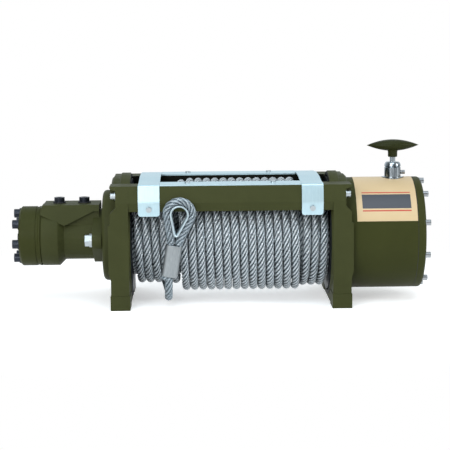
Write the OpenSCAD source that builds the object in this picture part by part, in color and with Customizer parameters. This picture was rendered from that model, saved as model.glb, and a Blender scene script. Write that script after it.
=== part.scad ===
// Hydraulic recovery winch: an orbit motor drives a shaft through the drum
// to two planetary stages, which turn the drum; a clutch sits on the gear end.
// X runs along the drum towards the gear end, -Y is the front and Z is up.
// The origin is the middle of the foot bolts, on the mounting surface.

/* [Layout] */
// Height of the supports' round rim above the mounting surface
rim_clear = 4.5; // [4:0.5:40]
// Distance along the drum between the two rows of foot bolts
foot_pitch_x = 321; // [315:1:345]
// Distance across the drum between the two rows of foot bolts
foot_pitch_y = 165; // [160:1:200]
// Distance from a foot bolt row to the front face of a support
foot_edge = 10.5; // [10:0.5:16]

/* [End supports] */
// Thickness of a support between its flat faces
sup_w = 26.5; // [25:0.5:32]
// Distance from the drum's flange out to the outside of the round rim
rim_wall = 9; // [7:0.5:11]
// Width of the rim along the drum
rim_w = 16; // [14:0.5:20]
// Distance that the rim stands in from the support
rim_lip = 2; // [1:0.5:4]
// Step in from the rim to the smaller ring outside it
ring_step = 4.5; // [3.5:0.5:6]
// Height of the foot pads
foot_h = 21; // [18:1:28]
// Distance that the foot pads stand out from the faces
foot_step = 1; // [0.5:0.5:3]
// Tapping diameter of the foot holes
foot_hole_d = 10.2; // [8:0.1:14]
// Depth of the foot holes
foot_hole_h = 28; // [20:1:36]
// Radius of the boss that carries the motor
boss_r = 67.5; // [62:0.5:72]
// Length of the boss that carries the motor
boss_w = 14.25; // [12:0.25:20]

/* [Tie bars] */
// Drop from the rope's third layer to the top of the tie bars
bar_drop = 1.4; // [0.4:0.2:4]
// Height of a bar's leaning front, from its crease to its top
bar_front_h = 24.1; // [22:0.1:27]
// Height of a bar's edge below the crease
bar_edge_h = 12.5; // [10:0.5:15]
// Depth of the top face of a bar
bar_depth = 36; // [30:1:40]
// Distance that the top edge leans back from the crease
bar_lean = 5; // [2:0.5:8]
// Gap between the rope and the bars' hollow inner face
bar_gap = 3; // [2.8:0.1:4]
// Thread diameter of the tie bar bolts
tie_bolt_d = 6; // [5:1:8]

/* [Rope guard] */
// Width of a strap
strap_w = 31; // [26:1:38]
// Thickness of the sheet
sheet_t = 2; // [1.5:0.5:3]
// Distance of each strap's middle from the middle of the drum
strap_x = 117.5; // [108:0.5:122]
// Gap between the rope and the straps over it
strap_gap = 2; // [1:0.2:5]
// Length of the flap below the crease
flap_h = 19; // [15:1:24]
// Head diameter of the guard's screws
guard_head_d = 8; // [6:0.5:10]

/* [Drum and rope] */
// Wall of the drum barrel
barrel_wall = 14; // [10:0.5:16]
// Thickness of the drum flanges
flange_t = 6; // [4:0.5:7]
// Diameter of the wire rope
rope_d = 12; // [10:0.5:12]
// Distance between neighbouring turns
rope_pitch = 12.45; // [12.45:0.05:13]
// Radius of the third layer's outside
top_layer_r = 84; // [80:0.5:86]
// Drop from the third layer to the turns at the motor end
left_drop = 12; // [12:0.2:13]
// Drop from the third layer to the turns at the gear end
right_drop = 5.5; // [4:0.5:8]
// Radius of the drum's journals
journal_r = 30; // [27:0.5:32]

/* [Drive] */
// Diameter of the drive shaft
shaft_d = 16; // [14:0.5:17]
// Wall of a ring gear outside its pitch circle
ring_wall = 8; // [7.5:0.1:9]
// Face width of the output stage's planets
out_gear_w = 24; // [20:1:28]
// Face width of the input stage's planets
in_gear_w = 22; // [20:1:28]
// Diameter of the planet pins
pin_d = 16; // [12:0.5:18]
// Outside radius of the gear housing
house_r = 82.7; // [80:0.1:86]
// Wall of the gear housing
house_wall = 11.7; // [10:0.1:13]

/* [Motor] */
// Radius of the motor's valve section
valve_r = 44.3; // [42:0.1:46]
// Radius of the motor's neck
neck_r = 35.3; // [32:0.1:38]
// Distance between the two flange bolts
motor_bolt_pitch = 106.4; // [100:0.2:112]
// Height of the port face above the axis
port_face_h = 49; // [47:0.5:54]
// Distance between the two ports
port_pitch = 37; // [32:0.5:42]

/* [Clutch] */
// Diameter of the clutch body
clutch_d = 24.5; // [22:0.5:28]
// Length of the T-handle
handle_l = 77.5; // [60:0.5:90]
// Travel of the plunger
clutch_lift = 10; // [8:0.5:12]

/* [Rope end] */
// Width of the opening in the thimble
thimble_w = 21; // [18:0.5:24]
// Wall of the thimble
thimble_t = 1.6; // [1.2:0.2:2]
// Length of the ferrule
ferrule_l = 48; // [40:1:56]

/* [Hidden] */

// Finishes
olive = "#4b4f2f";
dark_olive = "#33361f";
zinc = "#c9d3d6";
steel = "#9a9c9c";
dark_steel = "#45484a";
rope_grey = "#a9aeb2";
aluminium = "#b9bbba";
chrome = "#c4c9cc";
brass = "#b08d4c";
black = "#24262b";
cream = "#ead9b0";

// General clearances
half_turn_angle = 180;
overrun = 1;
fit_gap = 0.05;
free_gap = 0.3;
axial_gap = 1;
arc_sides = 96;
circle_sides = 48;

// Supports
sup_half_y = foot_pitch_y / 2 + foot_edge;
sup_in_x = foot_pitch_x / 2 - sup_w / 2;
sup_out_x = foot_pitch_x / 2 + sup_w / 2;
rim_in_x = sup_in_x - rim_lip;
rim_out_x = rim_in_x + rim_w;
rim_r = top_layer_r + rim_wall;
ring_r = rim_r - ring_step;
rim_chamfer = 2;
ring_chamfer = 3.5;
axis_z = rim_r + rim_clear;
foot_pad_y = 40;
bar_top = top_layer_r - bar_drop;
bar_crease = bar_top - bar_front_h;
bar_low = bar_crease - bar_edge_h;
boss_round = 6;
boss_out_x = sup_out_x + boss_w;
pocket_drop = 3;
pocket_h = 36;
pocket_low = bar_low - pocket_drop;
pocket_high = pocket_low + pocket_h;
pocket_slant = 9;
pocket_top_slant = 3;
pocket_t = 8.2;
pocket_w = 21;
panel_low = -43;
panel_high = 26;
panel_t = 3;
panel_slant = 14;
recess_gap = 1.25;
pilot_r = 41.25;
pilot_h = 6;
coupling_room_r = 24;

// Drum
left_layer_r = top_layer_r - left_drop;
right_layer_r = top_layer_r - right_drop;
barrel_r = left_layer_r - 2 * rope_d;
flange_r = top_layer_r;
drum_half = rim_in_x - recess_gap;
flange_out_x = drum_half + flange_t;
recess_x = flange_out_x + recess_gap;
recess_r = flange_r + 2 * recess_gap;
journal_out_x = sup_out_x - recess_gap;
journal_bore_r = 21;
barrel_bore_r = barrel_r - barrel_wall;
flange_edge = 1;
bush_t = 4;
bush_w = 14;
seal_w = 5;
seal_lip = 0.8;
bush_r = journal_r + fit_gap + bush_t;
clamp_screw_d = 8;
clamp_x = -120;

// Rope turns
rope_r = rope_d / 2;
core_gap = 0.2;
top_r = top_layer_r - rope_r;
left_r = left_layer_r - rope_r;
right_r = right_layer_r - rope_r;
turn_rings = 24;
turn_sides = 6;
flange_gap = 0.3;
left_end_x = -drum_half + flange_gap + rope_r;
right_end_x = drum_half - flange_gap - rope_r;
left_turns = 4.28;
right_turns = 2.14;
right_start_turn = -0.3;
top_start_turn = -0.23;
group_step = 17.3;
least_step = 3.5;
right_front_x = right_end_x - rope_pitch * right_turns;
top_front_x = right_front_x - group_step;
left_front_x = left_end_x + rope_pitch * left_turns;
top_room = top_front_x - left_front_x - rope_pitch - least_step;
top_turns = floor(top_room / rope_pitch);
top_end_turn = top_turns + 1 + left_turns;
step_shift = least_step + top_room - top_turns * rope_pitch;
step_core_x = top_front_x - top_turns * rope_pitch + rope_r / 2;
group_core_x = right_front_x + right_start_turn * rope_pitch
    - rope_r - core_gap;

// Planetary stages
sun_teeth = 15;
planet_teeth = 24;
ring_teeth = 63;
pressure_angle = 20;
tooth_thin = 0.1;
flank_steps = 3;
house_bore_r = house_r - house_wall;
tooth_m = 2 * (house_bore_r - ring_wall) / ring_teeth;
sun_r = tooth_m * sun_teeth / 2;
planet_r = tooth_m * planet_teeth / 2;
ring_pitch_r = tooth_m * ring_teeth / 2;
root_share = 1.25;
planets = 3;
centre_r = tooth_m * (sun_teeth + planet_teeth) / 2;
pinion_bore_r = shaft_d / 2 + axial_gap;
end_wall_t = 6;
end_wall_bore_r = 38;
plate_a_t = 7;
plate_b_t = 4;
plate_r = tooth_m * ring_teeth / 2 - tooth_m * 3;
plate_bore_r = tooth_m * sun_teeth / 2 + tooth_m * 2;
bridge_r = 6;
bridge_centre_r = planet_r + sun_r + tooth_m * 4;
ring_over = 2;
stage_gap = 7;
out_plate_x = sup_out_x + end_wall_t + recess_gap;
out_gear_x = out_plate_x + plate_a_t + axial_gap;
out_back_x = out_gear_x + out_gear_w + axial_gap;
in_plate_x = out_back_x + plate_b_t + stage_gap;
in_gear_x = in_plate_x + plate_a_t + axial_gap;
in_back_x = in_gear_x + in_gear_w + axial_gap;
cover_space = 12.5;
gasket_t = 0.75;
cover_t = 11.5;
cover_round = 4.5;
cover_in_x = in_back_x + plate_b_t + cover_space;
house_end_x = cover_in_x - gasket_t;
house_out_x = cover_in_x + cover_t;
cover_screw_count = 10;
cover_screw_r = (house_r + house_bore_r) / 2;
cover_screw_d = 5;
cover_head_d = 8.5;
cover_head_h = 6.5;
cover_socket_d = 4;
cover_screw_h = 18;
cover_screw_angle = 90;
cover_seat_x = house_out_x - 1;
cover_washer_d = 9.6;
cover_washer_t = 1.2;
carrier_hub_w = 16;
carrier_bore_r = shaft_d / 2 + 3 * axial_gap;
shaft_end_gap = 2;
end_boss_r = 15;
end_boss_h = 11;
end_bush_t = 3;
end_bush_r = shaft_d / 2 + end_bush_t;

// Shaft and coupling
coupling_r = 18;
coupling_l = 34;
coupling_gap = 2;
coupling_x = coupling_gap - boss_out_x;
shaft_start_x = coupling_x + coupling_l / 2 + axial_gap;
motor_shaft_r = 12.5;
motor_shaft_in = 20;

// Clutch
clutch_x = in_gear_x + in_gear_w / 2;
notch_d = 11;
notch_depth = 3;
notches = 12;
plunger_d = 10;
stem_d = 8.5;
clutch_base_r = clutch_d / 2 + 3.5;
clutch_base_h = 2;
clutch_seat_drop = 1.3;
clutch_seat_h = house_r - clutch_seat_drop;
clutch_bore_r = plunger_d / 2 + fit_gap;
clutch_floor_drop = 4.4;
clutch_floor = clutch_seat_h - clutch_floor_drop;
spring_room_r = 8.6;
plunger_low = house_bore_r - notch_depth + axial_gap;
collar_r = 8;
collar_h = 2.5;
spring_short_h = 8.9;
clutch_body_top = clutch_floor + collar_h + clutch_lift + spring_short_h;
clutch_rim_h = 1.1;
clutch_dome_h = clutch_body_top + clutch_rim_h;
clutch_cap_h = 6.2;
clutch_cap_top = clutch_dome_h + clutch_cap_h;
clutch_groove = 1;
clutch_spigot_r = 11;
spring_wire_d = 1.6;
spring_turns = 5;
spring_r = 6.3;
spring_rings = 8;
handle_gap = 7.3;
handle_low = clutch_cap_top + handle_gap;
neck_d = 14;
neck_h = 9;
neck_top = handle_low + neck_h;
handle_half_h = 8.5;
handle_mid = neck_top + handle_half_h;
handle_top = handle_mid + handle_half_h;
handle_w = 27;
detent_d = 6;
detent_l = 6;
detent_drop = 8.4;
detent_h = clutch_body_top - detent_drop;

// Motor
motor_x = -boss_out_x;
motor_flange_t = 14;
motor_flange_r = 40;
motor_lug_r = 14;
motor_cone_w = 9;
valve_w = 26;
neck_w = 43;
valve_x = motor_x - motor_flange_t - neck_w - motor_cone_w - valve_w;
wear_plate_t = 3.5;
orbit_w = 3.5;
end_cover_w = 24.5;
wear_x = valve_x - wear_plate_t;
orbit_x = wear_x - orbit_w;
end_cover_x = orbit_x - end_cover_w;
orbit_step = 0.8;
motor_edge = 3;
motor_bolt_count = 7;
motor_bolt_angle = 90;
motor_bolt_r = 34;
motor_bolt_d = 8;
motor_head_d = 13;
motor_head_h = 8;
motor_washer_d = 16;
motor_washer_t = 1.6;
motor_socket_d = 6;
motor_bolt_grip = 16;
edge_lean_share = 0.3;
flange_bolt_d = 10;
flange_bolt_af = 16;
flange_head_h = 6.4;
flange_washer_d = 20;
flange_washer_t = 4.2;
flange_bolt_l = 30;
port_low_h = 19.5;
port_top_half = 27.5;
port_low_half = 38;
port_back = 5;
port_rise = 16;
port_round = 4;
port_slope = 43;
port_thin = 9;
port_mid_w = 10;
port_mid_x = valve_x + valve_w + port_mid_w;
port_rib_r = neck_r - overrun;
port_rib_angle = 30;
port_rib_share = 0.8;
port_first = 26.5;
port_depth = 14;
port_head_d = 15.5;
port_head_h = 6.5;
port_socket_d = 8;
port_seal_d = 19;
port_seal_t = 2;
port_bore_d = 12;

// Tie bars and rope guard
bar_edge = 3;
bar_in_y = sup_half_y - bar_lean - bar_depth;
bar_clear_r = top_layer_r + bar_gap;
strap_h = top_layer_r + strap_gap;
bevel = atan(bar_edge / (bar_crease - bar_low));
strip_mid_y = bar_in_y + bar_depth / 2;
flap_screw_h = 4;
tie_seat_x = sup_out_x - pocket_t;
tie_bolt_y = 9;
tie_bolt_drop = 14.1;
tie_bolt_h = bar_top - tie_bolt_drop;
tie_head_d = 10;
tie_head_h = 6;
tie_washer_d = 13;
tie_washer_t = 1;
tie_bolt_l = 34;
tie_socket_d = 5;
strap_ramp_y = 14;
strap_drop = 6;
strap_corner = 4;
guard_head_h = 2.4;
guard_screw_d = 4;
guard_screw_l = 12;
strip_screw_x = 62;

// Label
label_t = 0.3;
label_low_angle = 19;
label_high_angle = 100;
label_in = 9.5;
label_w = 88;
label_gap = 1;
label_steps = 16;

// Rope end: the ferrule stands in front of the turns and leans a little
end_x = -89.5;
end_tilt = 9.5;
end_front = 4;
end_low = -49;
end_gap = 1;
end_y = -top_layer_r - end_front;
end_lean = atan((sup_half_y + end_gap + rope_r + end_y)
    / (bar_crease - end_low));
ferrule_half = 5.4;
ferrule_t = 12.8;
lip_t = 1.3;
eye_rope_gap = 0.2;
strand_x = rope_r + eye_rope_gap / 2;
thimble_r = thimble_w / 2 + thimble_t;
eye_r = thimble_r + rope_r + eye_rope_gap;
eye_mid_h = 46.5;
thimble_point = 35;
thimble_lip = 2.6;
thimble_d = 13;
eye_sides = 10;
eye_arc_steps = 14;

// Free stretch of rope: angle about the drum axis from the front, height of
// its middle over the turns and place along the drum, up to the ferrule
tail_route = [
    [135, 8.3, -136], [150, 8.3, -134], [165, 8.3, -130], [180, 8.5, -125],
    [195, 8.8, -119], [210, 9.4, -112], [225, 10.2, -105.5], [240, 11.2, -100],
    [255, 12.2, -95.5], [270, 13.3, -92.8], [285, 16.3, -92], [301, 26.5, -91.6],
    [307, 32, -91.4], [314, 34.6, -91.2], [321, 34.3, -90.8],
    [326.5, 32, -90.4]
];
tail_sides = 10;

// Unit direction of a vector
function unit(v) = v / norm(v);

// Direction of a path at point i
function path_dir(points, i) =
    unit(points[min(i + 1, len(points) - 1)] - points[max(i - 1, 0)]);

// Ring of a round rope about one point of its path
function rope_ring(p, dir, side, r, sides) =
    let (n = unit(cross(dir, side)), b = unit(cross(n, dir)))
    [for (k = [0:sides - 1])
        let (a = 360 * k / sides) p + r * (cos(a) * n + sin(a) * b)];

// Point on a round path about the drum axis, angle from the front upwards
function about_axis(x, r, a) = [x, -r * cos(a), r * sin(a)];

// Smooth step from 0 to 1
function ease(s) = let (c = min(max(s, 0), 1)) c * c * (3 - 2 * c);

// Third layer, which steps down to the second near the motor end
function top_path(t) =
    let (s = ease(t - top_turns))
    about_axis(top_front_x - rope_pitch * t - step_shift * s,
        top_r + (left_r - top_r) * s, 360 * t);

// Last turns of the layer below, at the gear end
function right_path(t) =
    about_axis(right_front_x + rope_pitch * t, right_r, 360 * t);

// Radius of the core under turns whose middle line is at radius r
function under_turns(r) = (r - rope_r) * cos(half_turn_angle / turn_rings) - core_gap;

// Adds a straight end of one rope diameter at both ends of a path
function straight_ends(points) =
    let (last = len(points) - 1)
    concat([points[0] - rope_d * unit(points[1] - points[0])], points,
        [points[last] + rope_d * unit(points[last] - points[last - 1])]);

// Angle that an involute has turned at radius r
function involute(base, r) = let (a = acos(base / r)) tan(a) * 180 / PI - a;

// Outline of a spur gear with tip and root radii and a change of thickness
function gear_points(teeth, tip, root, thin) =
    let (
        pitch_r = tooth_m * teeth / 2,
        base = pitch_r * cos(pressure_angle),
        low = max(base, root),
        half = 90 / teeth - thin / 2 / pitch_r * 180 / PI
            + involute(base, pitch_r),
        radii = [for (k = [0:flank_steps]) low + (tip - low) * k / flank_steps],
        rise = concat(root < base ? [[root, half]] : [],
            [for (r = radii) [r, half - involute(base, r)]])
    )
    [for (i = [0:teeth - 1], side = [-1, 1], k = [0:len(rise) - 1])
        let (
            p = rise[side < 0 ? k : len(rise) - 1 - k],
            a = 360 * i / teeth + side * p[1]
        )
        p[0] * [cos(a), sin(a)]];

// Outline of a teardrop with its point straight down
function teardrop(r, point) =
    let (a = 90 - acos(r / point))
    concat([for (k = [0:circle_sides / 2])
        let (t = -a + (half_turn_angle + 2 * a) * k * 2 / circle_sides)
        r * [cos(t), sin(t)]], [[0, -point]]);

// Lens outline between two arcs
function lens(half_l, low, high) =
    [for (k = [0:circle_sides - 1])
        let (c = cos(360 * k / circle_sides), s = 1 - c * c,
            up = sin(360 * k / circle_sides) >= 0 ? high : -low)
        [half_l * c, s * up]];

// Points of the tail from the turns to the ferrule
function tail_points() =
    concat([for (p = tail_route)
            about_axis(p[2], left_layer_r + p[1], p[0])],
        [end_point(-rope_r / 2), end_point(0)]);

// Point on the ferrule's middle line, about the drum axis
function end_point(s) =
    [end_x, end_y, end_low] + s * [sin(end_tilt),
        -sin(end_lean) * cos(end_tilt), cos(end_lean) * cos(end_tilt)];

// Middle line of the eye, in the ferrule's frame
function eye_points() =
    let (
        mid = ferrule_l + eye_mid_h,
        bend = ferrule_l + rope_r * 3 / 2,
        reach = norm([strand_x, mid - bend]),
        turn = atan2(bend - mid, strand_x) + acos(eye_r / reach),
        arc = [for (k = [0:eye_arc_steps])
            let (a = turn + (half_turn_angle - 2 * turn) * k / eye_arc_steps)
            [eye_r * cos(a), 0, mid + eye_r * sin(a)]]
    )
    concat([[strand_x, 0, ferrule_l], [strand_x, 0, (ferrule_l + bend) / 2],
        [strand_x, 0, bend]], arc,
        [[-strand_x, 0, bend], [-strand_x, 0, (ferrule_l + bend) / 2],
        [-strand_x, 0, ferrule_l]]);

// Least gap between a winding's neighbouring turns, measured on its points
function least_gap(points) =
    min([for (i = [0:len(points) - 1 - turn_rings * 3 / 4],
        j = [i + turn_rings * 3 / 4:
            min(i + turn_rings * 3 / 2, len(points) - 1)])
        norm(points[i] - points[j])]) - rope_d;

// Carries children from the origin to the drum axis
module on_axis() translate([0, 0, axis_z]) children();

// Turns the Z axis into the X axis, X into Y and Y into Z
module along_x() rotate([90, 0, 90]) children();

// Solid of revolution about the drum axis from [radius, x] points
module revolved(points)
    on_axis() along_x() rotate_extrude($fn = arc_sides) polygon(points);

// Round bar or hole along X at [y, z] about the drum axis
module bar_x(x, l, r, y = 0, z = 0, sides = circle_sides)
    on_axis() translate([x, y, z]) along_x() cylinder(h = l, r = r, $fn = sides);

// Flat outline in Y and Z about the drum axis, drawn out along X
module plate_x(x, l)
    on_axis() translate([x, 0, 0]) along_x() linear_extrude(l) children();

// Box at X and Y from its middle, Z from its lower face
module block(size, x, y, z)
    translate([x - size[0] / 2, y - size[1] / 2, z]) cube(size);

// Mirrors children to the motor side when side is -1
module at_side(side) mirror([side < 0 ? 1 : 0, 0, 0]) children();

// Copies children in equal steps about the drum axis
module around_axis(count, first = 0)
    for (k = [0:count - 1])
        on_axis() rotate([first + 360 * k / count, 0, 0])
            translate([0, 0, -axis_z]) children();

// Cap screw along X with its head outward from face x, at y and z
module cap_screw(x, l, d, head_d, head_h, socket_d, y, z) {
    difference() {
        bar_x(x, head_h, head_d / 2, y, z);
        bar_x(x + head_h / 2, head_h, socket_d / 2, y, z, 6);
    }
    bar_x(x - l, l + fit_gap, d / 2, y, z);
}

// Round rope through points, about the drum axis or in a local frame
module rope_solid(points, r, sides, side) {
    rings = [for (i = [0:len(points) - 1])
        each rope_ring(points[i], path_dir(points, i), side, r, sides)];
    last = (len(points) - 1) * sides;
    walls = [for (i = [0:len(points) - 2], k = [0:sides - 1])
        let (a = i * sides + k, b = i * sides + (k + 1) % sides)
        each [[a, a + sides, b], [b, a + sides, b + sides]]];
    ends = [for (k = [1:sides - 2])
        each [[0, k, k + 1], [last, last + k + 1, last + k]]];
    polyhedron(points = rings, faces = concat(walls, ends));
}

// Outline of a support about the drum axis: pillars and ears
module support_outline() {
    translate([-sup_half_y, -axis_z])
        square([2 * sup_half_y, axis_z + bar_crease]);
    for (side = [-1, 1])
        polygon([
            [side * sup_half_y, bar_crease],
            [side * (sup_half_y - bar_lean), bar_top],
            [side * (sup_half_y - bar_lean - bar_depth), bar_top],
            [side * (sup_half_y - bar_lean - bar_depth), bar_crease]
        ]);
}

// Recess for a tie bar bolt in the outer face of a support
module bolt_pocket(side)
    on_axis() mirror([0, side > 0 ? 1 : 0, 0])
        translate([0, pocket_w - sup_half_y, 0]) rotate([90, 0, 0])
            linear_extrude(pocket_w + foot_step + overrun) polygon([
                [sup_out_x + overrun, pocket_low - overrun],
                [sup_out_x - pocket_t, pocket_low + pocket_slant],
                [sup_out_x - pocket_t, pocket_high - pocket_top_slant],
                [sup_out_x + overrun, pocket_high + overrun]
            ]);

// Raised panel on the outer side of a pillar, with slanted ends
module side_panel(side) {
    depth = sup_half_y - house_r - free_gap;
    on_axis() translate([0, side * (sup_half_y - depth / 2), 0])
        rotate([90, 0, 0]) linear_extrude(depth, center = true) polygon([
            [sup_out_x - overrun, panel_low - panel_slant],
            [sup_out_x + panel_t, panel_low],
            [sup_out_x + panel_t, panel_high],
            [sup_out_x - overrun, panel_high + panel_t]
        ]);
}

// One support on the gear side, with a boss of length boss outside it
module support(boss) {
    difference() {
        union() {
            plate_x(sup_in_x, sup_w) support_outline();
            revolved([
                [0, sup_in_x], [ring_r, sup_in_x],
                [ring_r, sup_out_x - ring_chamfer],
                [ring_r - ring_chamfer, sup_out_x], [0, sup_out_x]
            ]);
            revolved([
                [0, rim_in_x], [rim_r - rim_chamfer, rim_in_x],
                [rim_r, rim_in_x + rim_chamfer],
                [rim_r, rim_out_x - rim_chamfer],
                [rim_r - rim_chamfer, rim_out_x], [0, rim_out_x]
            ]);
            for (side = [-1, 1])
                block([sup_w + 2 * foot_step, foot_pad_y, foot_h], foot_pitch_x / 2,
                    side * (sup_half_y + foot_step - foot_pad_y / 2), 0);
            for (side = [-1, 1]) side_panel(side);
            if (boss > 0) motor_boss();
        }
        revolved([
            [0, rim_in_x - overrun], [recess_r, rim_in_x - overrun],
            [recess_r, recess_x], [bush_r, recess_x],
            [bush_r, recess_x + seal_w + bush_w],
            [journal_r + axial_gap, recess_x + seal_w + bush_w],
            [journal_r + axial_gap, sup_out_x + (boss > 0 ? 0 : overrun)],
            [0, sup_out_x + (boss > 0 ? 0 : overrun)]
        ]);
        for (y = [-1, 1] * foot_pitch_y / 2)
            translate([foot_pitch_x / 2, y, -overrun])
                cylinder(h = foot_hole_h + overrun, d = foot_hole_d,
                    $fn = circle_sides);
        for (side = [-1, 1]) {
            bolt_pocket(side);
            bar_x(rim_in_x - overrun, sup_w + rim_lip + 2 * overrun,
                tie_bolt_d / 2 + fit_gap, side * (sup_half_y - tie_bolt_y),
                tie_bolt_h);
        }
        if (boss > 0) {
            bar_x(sup_out_x - overrun, boss_w, coupling_room_r);
            bar_x(boss_out_x - pilot_h, pilot_h + overrun, pilot_r + fit_gap);
            for (side = [-1, 1])
                bar_x(boss_out_x - flange_bolt_l, flange_bolt_l + overrun,
                    flange_bolt_d / 2 + fit_gap,
                    side * motor_bolt_pitch / 2);
        }
    }
}

// Round boss on the motor side, with a rounded outer edge
module motor_boss()
    revolved(concat([[0, sup_out_x - overrun], [boss_r, sup_out_x - overrun]],
        [for (a = [0:15:90])
            [boss_r - boss_round * (1 - cos(a)),
                boss_out_x - boss_round * (1 - sin(a))]],
        [[0, boss_out_x]]));

module motor_end_support() color(olive) at_side(-1) support(boss_w);

module gear_end_support() color(olive) support(0);

// One tie bar, hollowed about the rope, at the front for side -1
module tie_bar(side)
    difference() {
        plate_x(-sup_in_x, 2 * sup_in_x) polygon([
            [side * (sup_half_y - bar_edge), bar_low],
            [side * sup_half_y, bar_crease],
            [side * (sup_half_y - bar_lean), bar_top],
            [side * bar_in_y, bar_top],
            [side * bar_in_y, bar_low]
        ]);
        bar_x(-sup_in_x - overrun, 2 * (sup_in_x + overrun), bar_clear_r,
            0, 0, arc_sides);
        for (end = [-1, 1])
            at_side(end) {
                bar_x(tie_seat_x - tie_bolt_l, tie_bolt_l,
                    tie_bolt_d / 2 + fit_gap,
                    side * (sup_half_y - tie_bolt_y), tie_bolt_h);
                bar_x(rim_in_x - free_gap, sup_w, rim_r + free_gap, 0, 0,
                    arc_sides);
            }
        guard_screw_places(side)
            translate([0, 0, -guard_screw_l - overrun])
                cylinder(h = guard_screw_l + 2 * overrun,
                    r = guard_screw_d / 2 + fit_gap, $fn = circle_sides);
    }

module front_tie_bar() color(olive) tie_bar(-1);

module rear_tie_bar() color(olive) tie_bar(1);

module tie_bar_bolts()
    color(zinc) for (end = [-1, 1], side = [-1, 1]) at_side(end) {
        y = side * (sup_half_y - tie_bolt_y);
        cap_screw(tie_seat_x + tie_washer_t, tie_bolt_l, tie_bolt_d,
            tie_head_d, tie_head_h, tie_socket_d, y, tie_bolt_h);
        difference() {
            bar_x(tie_seat_x, tie_washer_t, tie_washer_d / 2, y, tie_bolt_h);
            bar_x(tie_seat_x - overrun, tie_washer_t + 2 * overrun,
                tie_bolt_d / 2 + fit_gap, y, tie_bolt_h);
        }
    }

// Places of the guard's screws on one bar: on the top and on the flaps
module guard_screw_places(side) {
    for (x = [-1, 1] * strip_screw_x)
        on_axis() translate([x, side * strip_mid_y, bar_top]) children();
    for (x = [-1, 1] * strap_x)
        on_axis() translate([x, side * (sup_half_y - bar_edge
                + bar_edge * flap_screw_h / (bar_crease - bar_low)),
                bar_low + flap_screw_h])
            rotate([-side * (90 + bevel), 0, 0]) children();
}

// Left normal of the line from a to b
function normal(a, b) = let (d = unit(b - a)) [-d[1], d[0]];

// Path moved to its left by d, with mitred corners
function moved_path(path, d) =
    let (last = len(path) - 1)
    [for (i = [0:last])
        let (
            n = normal(path[max(i - 1, 0)], path[max(i, 1)]),
            m = normal(path[min(i, last - 1)], path[min(i + 1, last)])
        )
        path[i] + d * (n + m) / (1 + n * m)];

// Underside of a strap in Y and Z, from the front flap to the rear one
function strap_path() =
    let (
        low = bar_crease - flap_h,
        flap_y = sup_half_y - bar_edge * flap_h / (bar_crease - bar_low),
        half = [[-flap_y, low], [-sup_half_y, bar_crease],
            [bar_lean - sup_half_y, bar_top], [-bar_in_y, bar_top]]
    )
    concat(half, [[-strap_ramp_y, strap_h], [bar_in_y - strap_drop, strap_h]],
        [for (i = [3:-1:0]) [-half[i][0], half[i][1]]]);

module strap(x) {
    path = strap_path();
    outer = moved_path(path, sheet_t);
    back = [for (i = [len(path) - 1:-1:0]) path[i]];
    difference() {
        plate_x(x - strap_w / 2, strap_w) polygon(concat(outer, back));
        for (end = [-1, 1])
            on_axis() translate([x + end * (strap_w / 2 - strap_corner), 0,
                    bar_crease - flap_h + strap_corner - sheet_t])
                mirror([end < 0 ? 1 : 0, 0, 0])
                    rotate([90, 0, 0]) corner_cut(strap_corner);
        for (side = [-1, 1])
            guard_screw_places(side)
                translate([0, 0, -overrun])
                    cylinder(h = sheet_t + 2 * overrun,
                        r = guard_screw_d / 2 + fit_gap, $fn = circle_sides);
    }
}

// Cutter that rounds the lower outer corners of both flaps
module corner_cut(r)
    linear_extrude(2 * (sup_half_y + overrun), center = true)
        difference() {
            translate([0, -r - overrun - sheet_t])
                square(r + overrun + sheet_t);
            circle(r = r, $fn = circle_sides);
        }

module motor_side_strap() color(zinc) strap(-strap_x);

module gear_side_strap() color(zinc) strap(strap_x);

// Flat strip on a tie bar, between the straps
module strip(side) {
    half = strap_x - strap_w / 2 - free_gap;
    difference() {
        on_axis() translate([-half, side > 0 ? bar_in_y : bar_lean - sup_half_y,
                bar_top])
            cube([2 * half, bar_depth, sheet_t]);
        guard_screw_places(side)
            translate([0, 0, -overrun])
                cylinder(h = sheet_t + 2 * overrun,
                    r = guard_screw_d / 2 + fit_gap, $fn = circle_sides);
    }
}

module front_strip() color(zinc) strip(-1);

module rear_strip() color(zinc) strip(1);

module guard_screws()
    color(steel) for (side = [-1, 1])
        guard_screw_places(side) {
            translate([0, 0, sheet_t])
                cylinder(h = guard_head_h, d = guard_head_d,
                    $fn = circle_sides);
            translate([0, 0, -guard_screw_l])
                cylinder(h = guard_screw_l + sheet_t + fit_gap,
                    d = guard_screw_d, $fn = circle_sides);
        }

// Motor body: round valve section, cone and neck, with flange and port block
module motor_housing()
    color(olive) difference() {
        union() {
            revolved([
                [0, valve_x], [valve_r - rim_chamfer, valve_x],
                [valve_r, valve_x + rim_chamfer],
                [valve_r, valve_x + valve_w],
                [neck_r, valve_x + valve_w + motor_cone_w],
                [neck_r, motor_x], [pilot_r, motor_x],
                [pilot_r, motor_x + pilot_h - fit_gap],
                [0, motor_x + pilot_h - fit_gap]
            ]);
            plate_x(motor_x - motor_flange_t, motor_flange_t)
                flange_outline();
            port_block();
        }
        bar_x(motor_x - overrun, pilot_h + 2 * overrun, coupling_room_r);
        bar_x(motor_x - motor_shaft_in - axial_gap, motor_shaft_in
            + 2 * axial_gap, motor_shaft_r + fit_gap);
        for (side = [-1, 1])
            bar_x(motor_x - motor_flange_t - overrun,
                motor_flange_t + 2 * overrun, flange_bolt_d / 2 + fit_gap,
                side * motor_bolt_pitch / 2);
        for (k = [0:motor_bolt_count - 1])
            motor_bolt_place(k)
                bar_x(valve_x - overrun, motor_bolt_grip + overrun,
                    motor_bolt_d / 2 + fit_gap);
        port_places()
            translate([0, 0, -port_depth])
                cylinder(h = port_depth + overrun, d = port_bore_d,
                    $fn = circle_sides);
    }

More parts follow.
